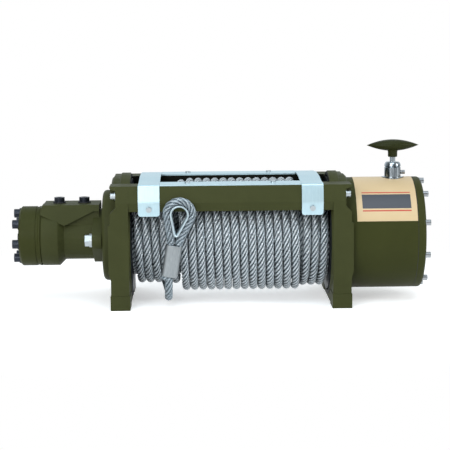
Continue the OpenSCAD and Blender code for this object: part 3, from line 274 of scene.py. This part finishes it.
def with_straight_ends(path):
    """Adds one diameter of straight rope at both ends."""
    first = unit(path[0] - path[1])
    last = unit(path[-1] - path[-2])
    return np.concatenate([[path[0] + ROPE_D * first], path,
                           [path[-1] + ROPE_D * last]])


def inner_layers():
    """Turns that show in the gaps: rope circles in a row along the drum.

    The radius at x is the crown's less what a circle falls away from it,
    and the row is shifted by one pitch in each turn. In the UV map the angle
    round the rope is that of the circle less the strands' own turning.
    """
    end = DRUM_HALF - 0.2
    x = np.linspace(-end, end, 460)
    whole = np.linspace(0, 1, PER_TURN + 1)
    turn = whole[:-1]
    u = ((x[:, None] + PITCH * turn[None]) / PITCH) % 1 - 0.5
    widest = ROPE_R - 0.3
    across = np.clip(u * PITCH, -widest, widest)
    fall = ROPE_R - np.sqrt(ROPE_R ** 2 - across ** 2)
    crown = INNER_CROWN_R[np.searchsorted(INNER_CHANGE_X, x, side="right")]
    points = about_axis(np.broadcast_to(x[:, None], u.shape),
                        crown[:, None] - fall, turn[None])
    along = whole[None] * 2 * math.pi * INNER_MEAN_R
    phase = (np.arcsin(np.append(across, across[:, :1], 1) / ROPE_R)
             - 2 * math.pi * along / STRAND_LAY)
    uv = np.stack(np.broadcast_arrays(along * MM, phase * ROPE_R * MM), -1)
    return surface("inner_rope_layers", on_axis(points), "drum_group",
                   around=True, uv=uv)


rope_turns = stranded_rope(
    "rope_outer_turns", on_axis(with_straight_ends(third_layer())),
    (1, 0, 0), "drum_group")
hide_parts("rope_turns")
rope_end_turns = stranded_rope(
    "rope_gear_side_turns", on_axis(with_straight_ends(end_turns())),
    (1, 0, 0), "drum_group")
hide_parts("rope_end_turns")
inner_rope = inner_layers()
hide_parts("rope_core")

# Free stretch of rope: degrees from the front, radius and place along the
# drum. It leaves the turns at the back, goes under them and up in front.
TAIL_ROUTE = np.array([
    [135, 80.3, -136], [150, 80.3, -134], [165, 80.3, -130],
    [180, 80.5, -125], [195, 80.8, -119], [210, 81.4, -112],
    [225, 82.2, -105.5], [240, 83.2, -100], [255, 84.2, -95.5],
    [270, 85.3, -92.8], [285, 88.3, -92], [301, 98.5, -91.6],
    [307, 104, -91.4], [314, 106.6, -91.2], [321, 106.3, -90.8],
    [326.5, 104, -90.4]])
tail_foot = end_place([[0, 0, -ROPE_R / 2], [0, 0, 0]])
tail_path = smooth_path(np.concatenate([
    on_axis(about_axis(TAIL_ROUTE[:, 2], TAIL_ROUTE[:, 1],
                       TAIL_ROUTE[:, 0] / 360)), tail_foot]))
rope_tail = stranded_rope("rope_tail_stretch", tail_path, (1, 0, 0), "frame")
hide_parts("rope_tail")


def eye_path():
    """Up one side, round the thimble and down the other side.

    Each of the two runs leaves the ferrule straight and then meets the
    round part along a line that touches it.
    """
    bend = FERRULE_L + ROPE_R * 1.5
    reach = math.hypot(RUN_X, EYE_MID - bend)
    turn = math.atan2(bend - EYE_MID, RUN_X) + math.acos(EYE_R / reach)
    a = np.linspace(turn, math.pi - turn, 40)
    arc = np.stack([EYE_R * np.cos(a), 0 * a, EYE_MID + EYE_R * np.sin(a)], 1)
    ends = np.array([[RUN_X, 0, FERRULE_L],
                     [RUN_X, 0, FERRULE_L + ROPE_R / 2],
                     [RUN_X, 0, bend - 2]])
    return np.concatenate([ends, arc, ends[::-1] * (-1, 1, 1)])


rope_eye = stranded_rope("rope_eye_loop", end_place(eye_path()),
                         (0, 1, 0), "frame", step=2.0)
# The end of the rope, cut off just below the ferrule
DEAD_END = [-6.1, 0, 1.5], [-6.4, 0, -1.5], [-6.9, 0, -4.5]
dead_end = stranded_rope("rope_dead_end", end_place(DEAD_END), (0, 1, 0),
                         "frame", step=1.5)
for part in (rope_eye, dead_end):
    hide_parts("rope_eye")


def pressed_ferrule():
    """Sleeve of two joined round lobes, its ends drawn in by a quarter round.

    The section is a stadium: half of the flat plus a radius. Near each end
    the radius falls by edge (1 - sin t) at a depth of edge (1 - cos t).
    """
    a = np.linspace(0, 2 * math.pi, 64, endpoint=False)
    edge, mouth = 1.6, 3.5
    t = np.linspace(0, math.pi / 2, 7)
    round_in, depth = edge * (1 - np.sin(t)), edge * (1 - np.cos(t))
    inset = np.concatenate([[mouth], round_in, [0, 0, 0], round_in[::-1],
                            [mouth]])
    z = np.concatenate([[0], depth, FERRULE_L * np.array([0.25, 0.5, 0.75]),
                        FERRULE_L - depth[::-1], [FERRULE_L]])
    r = FERRULE_R - inset[:, None]
    return np.stack([np.sign(np.cos(a)) * FERRULE_HALF_FLAT + r * np.cos(a),
                     r * np.sin(a),
                     np.broadcast_to(z[:, None], (len(z), len(a)))], -1)


ferrule = surface("pressed_ferrule", end_place(pressed_ferrule()), "frame",
                  around=True, caps=True)
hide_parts("ferrule")


# Half of the gutter's section: how far out, and how far to the side
GUTTER = np.array([
    [0, 5.2], [0.4, 6.2], [1.0, 6.9], [2.0, 7.4], [3.0, 7.6],
    [3.2, 7.0], [2.4, 6.7], [1.9, 6.1], [1.6, 5.4], [1.5, 4.0]])


def thimble_gutter():
    """Gutter of bent sheet carried round a teardrop.

    The teardrop joins a large circle above to a small one below by lines
    that touch both. Each station is a circle's centre plus its outward
    direction times the radius, so the section moves out along it.
    """
    inner, small, drop = 10.5, 0.7, 29.3
    a = math.asin((inner - small) / drop)
    top = np.linspace(-a, math.pi + a, 56)
    foot = np.linspace(math.pi + a, 2 * math.pi - a, 14)
    n = np.concatenate([top, foot])
    r = np.concatenate([np.full(len(top), inner), np.full(len(foot), small)])
    low = np.concatenate([np.zeros(len(top)), np.full(len(foot), -drop)])
    section = np.concatenate([GUTTER, GUTTER[::-1] * (1, -1)])
    out = r[:, None] + section[None, :, 0]
    x = out * np.cos(n)[:, None]
    z = low[:, None] + out * np.sin(n)[:, None] + EYE_MID
    y = np.broadcast_to(section[None, :, 1], x.shape)
    return np.stack([x, y, z], -1)


thimble = surface("thimble_gutter", end_place(thimble_gutter()), "frame",
                  around=True, along=True)
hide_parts("thimble")


# Rope guard

STRAP_X = 117.5
STRAP_HALF_W = 15.5
STRAP_T = 2.0
STRAP_BEND = 3.0
STRAP_CORNER = 4.0
STRAP_EDGE = 0.35
# Bends of the strap's underside in front, about the drum axis, and its top
STRAP_FRONT = np.array([[-88.44, 39.5], [-93, 58.5], [-88, 82.6],
                        [-52, 82.6]])
STRAP_TOP = np.array([[-14, 86], [46, 86]])


def strap_sheet(x):
    """Bent strap over both tie bars, as its middle surface.

    The line of the bends in Y and Z is moved out by half of the sheet. Each
    bend is a parabola between two points on the lines that meet there, and
    the ends narrow by quarter rounds.
    """
    line = np.concatenate([STRAP_FRONT, STRAP_TOP,
                           STRAP_FRONT[::-1] * (-1, 1)])
    d = unit(np.diff(line, axis=0))
    n = np.stack([-d[:, 1], d[:, 0]], 1)
    n = np.concatenate([n[:1], n, n[-1:]])
    m = n[:-1] + n[1:]
    line = line + (STRAP_T / 2 * m
                   / (1 + np.sum(n[:-1] * n[1:], 1))[:, None])
    s = np.linspace(0, 1, 7)[None, :, None]
    p = line[1:-1, None]
    a, b = p - STRAP_BEND * d[:-1, None], p + STRAP_BEND * d[1:, None]
    bends = ((1 - s) ** 2 * a + 2 * s * (1 - s) * p + s ** 2 * b)
    line = np.concatenate([line[:1], bends.reshape(-1, 2), line[-1:]])
    # Rows close to each end, for its rounded corners
    near = STRAP_CORNER * (1 - np.cos(np.linspace(0, math.pi / 2, 7)))
    length = np.concatenate([[0], np.cumsum(np.linalg.norm(
        np.diff(line, axis=0), axis=1))])
    at = np.unique(np.concatenate([near, length, length[-1] - near]))
    y, z = (np.interp(at, length, line[:, k]) for k in range(2))
    edge = np.minimum(at, length[-1] - at)
    narrow = STRAP_CORNER - np.sqrt(np.maximum(
        STRAP_CORNER ** 2 - np.maximum(STRAP_CORNER - edge, 0) ** 2, 0))
    across = np.linspace(-1, 1, 7)
    half = STRAP_HALF_W - narrow
    points = np.stack([x + half[:, None] * across[None],
                       np.broadcast_to(y[:, None], (len(at), 7)),
                       np.broadcast_to(z[:, None], (len(at), 7))], -1)
    return on_axis(points)


def finish_with(piece, **modifiers):
    """Adds modifiers by name, each with its settings."""
    for kind, settings in modifiers.items():
        added = piece.modifiers.new(kind.lower(), kind)
        for key, value in settings.items():
            setattr(added, key, value)
    return piece


straps = []
for side, at in (("motor", -STRAP_X), ("gear", STRAP_X)):
    strap = surface(f"{side}_side_strap_sheet", strap_sheet(at), "frame")
    finish_with(strap, SOLIDIFY={"thickness": STRAP_T * MM, "offset": 0.0},
                BEVEL={"width": STRAP_EDGE * MM, "segments": 2,
                       "limit_method": "ANGLE", "harden_normals": True})
    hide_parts(f"{side}_side_strap")
    straps.append(strap)


# Clutch handle

GRIP_H = 130.5  # above the drum axis
GRIP_HALF = 38.75, 13.5, 8.5  # length, width and height
# The neck's half outline: radius, and height above the drum axis
NECK = np.array([
    [0.05, 113], [6, 113], [6.6, 113.2], [7, 114], [7, 120],
    [7.3, 121.6], [8.2, 123.2], [9.5, 124.4], [6, 125.5]])


def boat_grip():
    """T-shaped grip: pointed at both ends, domed above and below.

    At a share s of the half length the section is an ellipse that is
    1 - s^2 of its full width and height.
    """
    s = np.sin(np.linspace(-math.pi / 2, math.pi / 2, 41)) * 0.999
    a = np.linspace(0, 2 * math.pi, 40, endpoint=False)
    full = (1 - s * s)[:, None]
    length, width, height = GRIP_HALF
    return np.stack([
        CLUTCH_X + np.broadcast_to(length * s[:, None], (len(s), len(a))),
        width * full * np.cos(a)[None],
        AXIS_Z + GRIP_H + height * full * np.sin(a)[None]], -1)


grip = surface("clutch_grip", boat_grip(), "clutch_handle_group",
               around=True, caps=True)


def grip_neck():
    """Neck under the grip: its half outline turned about its own axis."""
    a = np.linspace(0, 2 * math.pi, 48, endpoint=False)
    r, height = NECK[:, :1], NECK[:, 1:]
    return np.stack([CLUTCH_X + r * np.cos(a), r * np.sin(a),
                     AXIS_Z + height + 0 * a], -1)


neck = surface("clutch_grip_neck", grip_neck(), "clutch_handle_group",
               around=True, caps=True)
for part in (grip, neck):
    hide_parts("clutch_handle")


# Floor and light

# Metres from the origin between which the floor goes over to white, and the
# share by which lengths along the drum are shortened in that measure
FADE_START, FADE_END = 0.24, 0.5
FADE_ALONG = 0.62
# Strengths of the room: low and in front, behind, and above
ROOM_LOW, ROOM_BEHIND, ROOM_ABOVE = 0.28, 1.0, 0.75
ROOM_COLOUR = 0.9, 0.96, 1, 1
PAPER_GLOW = 0.45
WHITE = 1, 1, 1, 1
# Place that the lamps look at, and their own places and side lengths in
# metres, with their watts and colours
LAMP_AIM = Vector((0, 0, 0.1))
LAMPS = {
    "top_lamp": ((-0.1, -0.9, 1.8), 1.3, 16, (0.82, 0.93, 1)),
    "front_lamp": ((-0.9, -2.2, 0.85), 1.0, 27, (1, 1, 1)),
    "side_lamp": ((1.9, -1.0, 0.9), 0.9, 17, (1, 1, 1)),
}


def linear(code):
    """Linear colour of an sRGB code such as 4b4f2f."""
    c = np.array([int(code[k:k + 2], 16) for k in (0, 2, 4)]) / 255
    c = np.where(c <= 0.04045, c / 12.92, ((c + 0.055) / 1.055) ** 2.4)
    return (*c.tolist(), 1.0)


def add(tree, kind, inputs=(), **settings):
    """A node with its settings, its inputs set or linked, and returned."""
    made = tree.nodes.new("ShaderNode" + kind)
    for key, value in settings.items():
        setattr(made, key, value)
    for key, value in dict(inputs).items():
        if isinstance(value, bpy.types.NodeSocket):
            tree.links.new(value, made.inputs[key])
        else:
            made.inputs[key].default_value = value
    return made


def new_material(name):
    """An empty material, its tree and its output."""
    made = bpy.data.materials.new(name)
    made.use_nodes = True
    made.node_tree.nodes.clear()
    return made, made.node_tree, add(made.node_tree, "OutputMaterial")


def seen_directly(tree):
    """1 for rays from the camera and for mirrored and refracted ones."""
    path = add(tree, "LightPath")
    most = add(tree, "Math", {0: path.outputs["Is Camera Ray"],
                              1: path.outputs["Is Glossy Ray"]},
               operation="MAXIMUM")
    return add(tree, "Math", {0: most.outputs[0],
                              1: path.outputs["Is Transmission Ray"]},
               operation="MAXIMUM").outputs[0]


def studio():
    """Paper floor under the winch, white beyond it, and soft lamps.

    Away from the winch the floor goes over to plain white in the camera's
    and the mirrors' eyes, so only the soft shadow is left.
    """
    mesh = bpy.data.meshes.new("floor")
    mesh.from_pydata([(-6, -6, 0), (6, -6, 0), (6, 9, 0), (-6, 9, 0)], [],
                     [(0, 1, 2, 3)])
    floor = bpy.data.objects.new("floor", mesh)
    bpy.context.scene.collection.objects.link(floor)
    made, tree, out = new_material("white_paper_floor")
    seen = seen_directly(tree)
    paper = add(tree, "BsdfDiffuse", {"Color": linear("f2f2f2")})
    glow = add(tree, "Emission", {
        "Color": WHITE,
        "Strength": add(tree, "Math", {0: seen, 1: PAPER_GLOW},
                        operation="MULTIPLY").outputs[0]})
    near = add(tree, "AddShader", {0: paper.outputs[0], 1: glow.outputs[0]})
    flat = add(tree, "Mapping", {"Vector": place_of(tree),
                                 "Scale": (FADE_ALONG, 1.0, 1.0)})
    away = add(tree, "VectorMath", {0: flat.outputs[0]}, operation="LENGTH")
    far = add(tree, "MapRange", {"Value": away.outputs["Value"],
                                 "From Min": FADE_START,
                                 "From Max": FADE_END},
              interpolation_type="SMOOTHSTEP")
    white = add(tree, "Emission", {"Color": WHITE, "Strength": 1.0})
    share = add(tree, "Math", {0: far.outputs[0], 1: seen},
                operation="MULTIPLY")
    both = add(tree, "MixShader", {0: share.outputs[0], 1: near.outputs[0],
                                   2: white.outputs[0]})
    tree.links.new(both.outputs[0], out.inputs[0])
    mesh.materials.append(made)

    world = bpy.data.worlds.new("studio")
    world.use_nodes = True
    tree = world.node_tree
    tree.nodes.clear()
    way = add(tree, "SeparateXYZ", {
        0: add(tree, "TexCoord").outputs["Generated"]})
    behind = add(tree, "MapRange", {
        "Value": way.outputs[1], "From Min": -0.3, "From Max": 0.4,
        "To Min": ROOM_LOW, "To Max": ROOM_BEHIND},
        interpolation_type="SMOOTHSTEP")
    above = add(tree, "MapRange", {
        "Value": way.outputs[2], "From Min": 0.35, "From Max": 0.95,
        "To Min": ROOM_LOW, "To Max": ROOM_ABOVE},
        interpolation_type="SMOOTHSTEP")
    level = add(tree, "Math", {0: behind.outputs[0], 1: above.outputs[0]},
                operation="MAXIMUM")
    room = add(tree, "Background", {"Color": ROOM_COLOUR,
                                    "Strength": level.outputs[0]})
    white = add(tree, "Background", {"Color": WHITE, "Strength": 1.0})
    path = add(tree, "LightPath")
    mix = add(tree, "MixShader", {0: path.outputs["Is Camera Ray"],
                                  1: room.outputs[0], 2: white.outputs[0]})
    tree.links.new(mix.outputs[0], add(tree, "OutputWorld").inputs[0])
    bpy.context.scene.world = world

    for name, (place, size, power, colour) in LAMPS.items():
        data = bpy.data.lights.new(name, "AREA")
        data.size = size
        data.energy = power
        data.color = colour
        lamp = bpy.data.objects.new(name, data)
        lamp.location = place
        toward = LAMP_AIM - Vector(place)
        lamp.rotation_euler = toward.to_track_quat("-Z", "Y").to_euler()
        bpy.context.scene.collection.objects.link(lamp)


def place_of(tree):
    """Place in the object's own frame, in metres."""
    return add(tree, "TexCoord").outputs["Object"]


studio()
bpy.context.scene.view_settings.view_transform = "Standard"


# Materials

# Hollow about the drum painted near black as shade: radius, half depth and
# half length
HOLLOW_R, HOLLOW_Y, HOLLOW_X = 88.3, 52.3, 146.0
CAST_EDGE = 0.9
WIRE_W = 1.1
# Middle and half length of the label's bands, along the drum
LABEL_X, LABEL_HALF = 227.3, 35.5
# Middle and half width of each band in degrees round the housing, and colour
LABEL_BANDS = (41, 8.5, "3d4148"), (52, 0.7, "b5402f"), (30, 0.7, "b5402f")


def shade(tree, vector, size, low, high):
    """A mix of two colours by soft noise with spots of a size in mm."""
    noise = add(tree, "TexNoise", {"Vector": vector, "Scale": 1000 / size,
                                   "Detail": 3.0, "Roughness": 0.55})
    return add(tree, "Mix", {0: noise.outputs[0], 6: low, 7: high},
               data_type="RGBA").outputs[2]


def bump(tree, height, depth):
    """Normal from a height between 0 and 1 that is depth mm deep."""
    return add(tree, "Bump", {"Height": height, "Strength": 1.0,
                              "Distance": depth * MM}).outputs[0]


def spread(tree, value, low, high):
    """Value from 0 to 1 spread to low..high."""
    return add(tree, "MapRange", {"Value": value, "To Min": low,
                                  "To Max": high}).outputs[0]


def painted_shade_about_drum(tree, at):
    """1 where the surface is close about the drum, between the supports, where
    shade is painted.
    """
    flat = add(tree, "Mapping", {"Vector": at, "Scale": (0, 1, 1),
                                 "Location": (0, 0, -AXIS_Z * MM)})
    far = add(tree, "VectorMath", {0: flat.outputs[0]}, operation="LENGTH")
    near = add(tree, "Math", {0: far.outputs["Value"], 1: HOLLOW_R * MM},
               operation="LESS_THAN")
    parts = add(tree, "SeparateXYZ", {0: at})
    inner = add(tree, "Math", {0: parts.outputs[1], 1: 0.0,
                               2: HOLLOW_Y * MM}, operation="COMPARE")
    either = add(tree, "Math", {0: near.outputs[0], 1: inner.outputs[0]},
                 operation="MAXIMUM")
    between = add(tree, "Math", {0: parts.outputs[0], 1: 0.0,
                                 2: HOLLOW_X * MM}, operation="COMPARE")
    return add(tree, "Math", {0: either.outputs[0], 1: between.outputs[0]},
               operation="MULTIPLY").outputs[0]


def olive_paint(name, dark, light, grain, depth, rough):
    """Satin enamel over iron: a faint cloud of colour and orange peel.

    The grain is the size in mm of the casting's skin or of the peel. The
    hollow of the tie bars over the rope is painted near black as shade.
    """
    made, tree, out = new_material(name)
    at = place_of(tree)
    # Painted shade: near black where the surface lies close about the drum
    colour = add(tree, "Mix", {
        0: painted_shade_about_drum(tree, at),
        6: shade(tree, at, 45, linear(dark), linear(light)),
        7: linear("0b0c07")}, data_type="RGBA").outputs[2]
    skin = add(tree, "TexNoise", {"Vector": at, "Scale": 1000 / grain,
                                  "Detail": 4.0, "Roughness": 0.6})
    cloud = add(tree, "TexNoise", {"Vector": at, "Scale": 30.0,
                                   "Detail": 2.0})
    body = add(tree, "BsdfPrincipled", {
        "Base Color": colour,
        "Roughness": spread(tree, cloud.outputs[0], rough - 0.06,
                            rough + 0.08),
        "IOR": 1.5, "Specular IOR Level": 0.09,
        "Normal": bump(tree, skin.outputs[0], depth)})
    tree.links.new(body.outputs[0], out.inputs[0])
    return made


def bare_metal(name, dark, light, rough, streak=(1, 1, 1), size=4.0,
               depth=0.03, metallic=1.0, spots=(0.0, 1.0)):
    """Metal whose tone and gloss follow noise drawn out by streak.

    Its tone goes from dark to light over the noise values in spots.
    """
    made, tree, out = new_material(name)
    scaled = add(tree, "Mapping", {"Vector": place_of(tree),
                                   "Scale": streak}).outputs[0]
    grain = add(tree, "TexNoise", {"Vector": scaled, "Scale": 1000 / size,
                                   "Detail": 4.0, "Roughness": 0.6})
    body = add(tree, "BsdfPrincipled", {
        "Base Color": add(tree, "Mix", {
            0: add(tree, "MapRange", {
                0: grain.outputs[0], "From Min": spots[0],
                "From Max": spots[1]}).outputs[0],
            6: linear(dark), 7: linear(light)}, data_type="RGBA").outputs[2],
        "Metallic": metallic,
        "Roughness": spread(tree, grain.outputs[0], rough - 0.07,
                            rough + 0.07),
        "Normal": bump(tree, grain.outputs[0], depth)})
    tree.links.new(body.outputs[0], out.inputs[0])
    return made


def wire_rope(name, painted_groove_shade, wire, crown_wire):
    """Galvanised wire rope, 6 x 19: the wires lie along the rope's length.

    UV runs along the rope and round it in metres. The wires are drawn half
    as wide again as they are, so that they show, with painted shade between
    them, and painted shade darkens the grooves between the strands, whose
    crowns lie where cos(6 v / radius) is 1.
    """
    made, tree, out = new_material(name)
    uv = add(tree, "UVMap", uv_map="UVMap").outputs[0]
    round_it = add(tree, "Math", {
        0: add(tree, "SeparateXYZ", {0: uv}).outputs[1],
        1: STRANDS / (ROPE_R * MM)}, operation="MULTIPLY")
    crown = add(tree, "MapRange", {
        0: add(tree, "Math", {0: round_it.outputs[0]},
               operation="COSINE").outputs[0],
        "From Min": -0.8, "From Max": 0.6}, interpolation_type="SMOOTHSTEP")
    wires = add(tree, "TexWave", {
        "Vector": uv, "Scale": math.pi / 10 / (WIRE_W * MM),
        "Distortion": 1.2, "Detail": 1.0, "Detail Scale": 0.05},
        wave_type="BANDS", bands_direction="Y", wave_profile="SIN")
    tone = add(tree, "TexNoise", {"Vector": place_of(tree), "Scale": 160.0,
                                  "Detail": 3.0})
    colour = add(tree, "Mix", {0: tone.outputs[0], 6: linear(wire),
                               7: linear(crown_wire)}, data_type="RGBA")
    # Painted shade: between the wires the colour goes half way to dark 5b636b
    wired = add(tree, "Mix", {
        0: spread(tree, wires.outputs[0], 0.5, 1.0),
        6: linear("5b636b"), 7: colour.outputs[2]}, data_type="RGBA")
    # Painted shade: the grooves between the strands go to a dark colour
    groove = add(tree, "Mix", {0: crown.outputs[0], 6: linear(painted_groove_shade),
                               7: wired.outputs[2]}, data_type="RGBA")
    body = add(tree, "BsdfPrincipled", {
        "Base Color": groove.outputs[2], "Metallic": 0.7,
        "Roughness": spread(tree, tone.outputs[0], 0.2, 0.36),
        "Normal": bump(tree, wires.outputs[0], 0.25)})
    tree.links.new(body.outputs[0], out.inputs[0])
    return made


def printed_label():
    """Vinyl sticker: cream, a plain charcoal band and thin red lines.

    Height up the sticker is the angle round the gear housing.
    """
    made, tree, out = new_material("printed_vinyl_label")
    at = place_of(tree)
    axis = add(tree, "Mapping", {"Vector": at,
                                 "Location": (0, 0, -AXIS_Z * MM)})
    parts = add(tree, "SeparateXYZ", {0: axis.outputs[0]})
    front = add(tree, "Math", {0: parts.outputs[1], 1: -1.0},
                operation="MULTIPLY")
    angle = add(tree, "Math", {0: parts.outputs[2], 1: front.outputs[0]},
                operation="ARCTAN2").outputs[0]
    x = parts.outputs[0]

    def inside(value, middle, half):
        """1 where value is within half of middle."""
        return add(tree, "Math", {0: value, 1: middle, 2: half},
                   operation="COMPARE").outputs[0]

    colour = shade(tree, at, 60, linear("bea57d"), linear("cbb58f"))
    for middle, half, code in LABEL_BANDS:
        both = add(tree, "Math", {
            0: inside(angle, math.radians(middle), math.radians(half)),
            1: inside(x, LABEL_X * MM, LABEL_HALF * MM)},
            operation="MULTIPLY")
        colour = add(tree, "Mix", {0: both.outputs[0], 6: colour,
                                   7: linear(code)},
                     data_type="RGBA").outputs[2]
    peel = add(tree, "TexNoise", {"Vector": at, "Scale": 300.0,
                                  "Detail": 2.0})
    body = add(tree, "BsdfPrincipled", {
        "Base Color": colour,
        "Roughness": spread(tree, peel.outputs[0], 0.34, 0.44),
        "IOR": 1.46, "Normal": bump(tree, peel.outputs[0], 0.02)})
    tree.links.new(body.outputs[0], out.inputs[0])
    return made


def rubber(name):
    """Nitrile rubber, moulded: near black, dull, with a fine tooth."""
    made, tree, out = new_material(name)
    at = place_of(tree)
    tooth = add(tree, "TexNoise", {"Vector": at, "Scale": 900.0,
                                   "Detail": 2.0})
    body = add(tree, "BsdfPrincipled", {
        "Base Color": shade(tree, at, 20, linear("16171a"),
                            linear("202226")),
        "Roughness": spread(tree, tooth.outputs[0], 0.6, 0.75),
        "IOR": 1.52, "Normal": bump(tree, tooth.outputs[0], 0.03)})
    tree.links.new(body.outputs[0], out.inputs[0])
    return made


cast_olive = olive_paint("olive_enamel_on_casting", "34371d", "3e4124",
                         1.8, 0.10, 0.52)
smooth_olive = olive_paint("olive_enamel_on_turned_steel", "303316",
                           "383b1a", 0.9, 0.03, 0.48)
dark_olive = olive_paint("dark_olive_enamel", "23260f", "2b2f16", 1.2,
                         0.04, 0.4)
zinc = bare_metal("blue_zinc_plate", "a9c5cf", "c3dae1", 0.4,
                  streak=(1, 0.15, 0.15), size=2.0, depth=0.015,
                  metallic=0.75)
dull_zinc = bare_metal("galvanised_thimble", "a3b4bb", "c3d1d6", 0.42,
                       size=3.0, depth=0.03, metallic=0.8)
bright_zinc = bare_metal("bright_zinc_fasteners", "a1a9ad", "c1c8cb", 0.42,
                         size=2.0, depth=0.01)
black_steel = bare_metal("blackened_steel", "20242b", "2e333c", 0.38,
                         size=3.0, depth=0.02, metallic=0.7)
steel = bare_metal("machined_steel", "8f9295", "a9acae", 0.34, size=3.0)
drum_steel = bare_metal("dark_phosphated_steel", "1d2023", "2a2e32", 0.45,
                        size=5.0)
# Painted reflection: the chrome's tone swings from dark to light in upright
# streaks standing in for the room it mirrors
chrome = bare_metal("polished_chrome_painted_reflections", "2d363d", "bac4ca", 0.2,
                    streak=(1, 1, 0.04), size=2.4, depth=0.004,
                    spots=(0.32, 0.62))
aluminium = bare_metal("pressed_aluminium", "7a8082", "acb1b4", 0.5,
                       streak=(3, 3, 0.25), size=3.0, depth=0.05)
bronze = bare_metal("bearing_bronze", "8f6f3a", "a98748", 0.35, size=3.0)
nitrile = rubber("nitrile_rubber")
# The first colour of each rope finish is the painted shade of its grooves
rope_finish = wire_rope("galvanised_wire_rope", "505b63", "d6e1e7",
                        "f4f9fc")
# Painted shade: a darker, flatter copy of the same rope finish for the tail,
# eye and dead end
shaded_rope_end_finish = wire_rope("wire_rope_shaded_copy_for_the_end", "69757d", "9fadb5",
                            "c4cfd5")
label_finish = printed_label()

for name in ("motor_end_support gear_end_support front_tie_bar "
             "rear_tie_bar motor_housing").split():
    finish_with(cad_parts[name],
                WELD={"merge_threshold": 0.00001},
                DECIMATE={"decimate_type": "DISSOLVE",
                          "angle_limit": math.radians(1)},
                BEVEL={"width": CAST_EDGE * MM, "segments": 2,
                       "limit_method": "ANGLE",
                       "angle_limit": math.radians(40),
                       "harden_normals": True})

FINISHES = {
    cast_olive: "motor_end_support gear_end_support front_tie_bar "
                "rear_tie_bar motor_housing",
    smooth_olive: "motor_wear_plate orbit_ring motor_end_cover "
                  "gear_housing gear_end_cover",
    dark_olive: "clutch_handle",
    zinc: "motor_side_strap gear_side_strap front_strip rear_strip",
    dull_zinc: "thimble",
    bright_zinc: "tie_bar_bolts guard_screws motor_flange_bolts",
    black_steel: "motor_cover_bolts port_plugs",
    steel: "gear_cover_screws output_ring_gear input_ring_gear clutch_spring "
           "clutch_detent_screw rope_clamp_screw output_carrier "
           "output_planet_pins output_planet_1 output_planet_2 "
           "output_planet_3 input_carrier input_planet_pins input_planet_1 "
           "input_planet_2 input_planet_3 drive_shaft shaft_coupling",
    drum_steel: "drum",
    chrome: "clutch_body clutch_cap clutch_plunger",
    aluminium: "ferrule",
    bronze: "motor_side_bush gear_side_bush shaft_end_bush",
    nitrile: "port_seals gear_cover_gasket motor_side_seal gear_side_seal",
    rope_finish: "rope_tail rope_eye rope_core rope_turns rope_end_turns",
    label_finish: "label",
}
for finish, names in FINISHES.items():
    for name in names.split():
        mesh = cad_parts[name].data
        mesh.materials.clear()
        mesh.materials.append(finish)
for piece, finish, slot in (
        (rope_turns, rope_finish, "rope"),
        (rope_end_turns, rope_finish, "rope"),
        (inner_rope, rope_finish, "rope"),
        (rope_tail, shaded_rope_end_finish, "rope"),
        (rope_eye, shaded_rope_end_finish, "rope"),
        (dead_end, shaded_rope_end_finish, "rope"),
        (ferrule, aluminium, "aluminium"),
        (thimble, dull_zinc, "zinc"),
        (straps[0], zinc, "zinc"),
        (straps[1], zinc, "zinc"),
        (grip, dark_olive, "dark_olive_paint"),
        (neck, dark_olive, "dark_olive_paint")):
    piece.data.materials.append(finish)
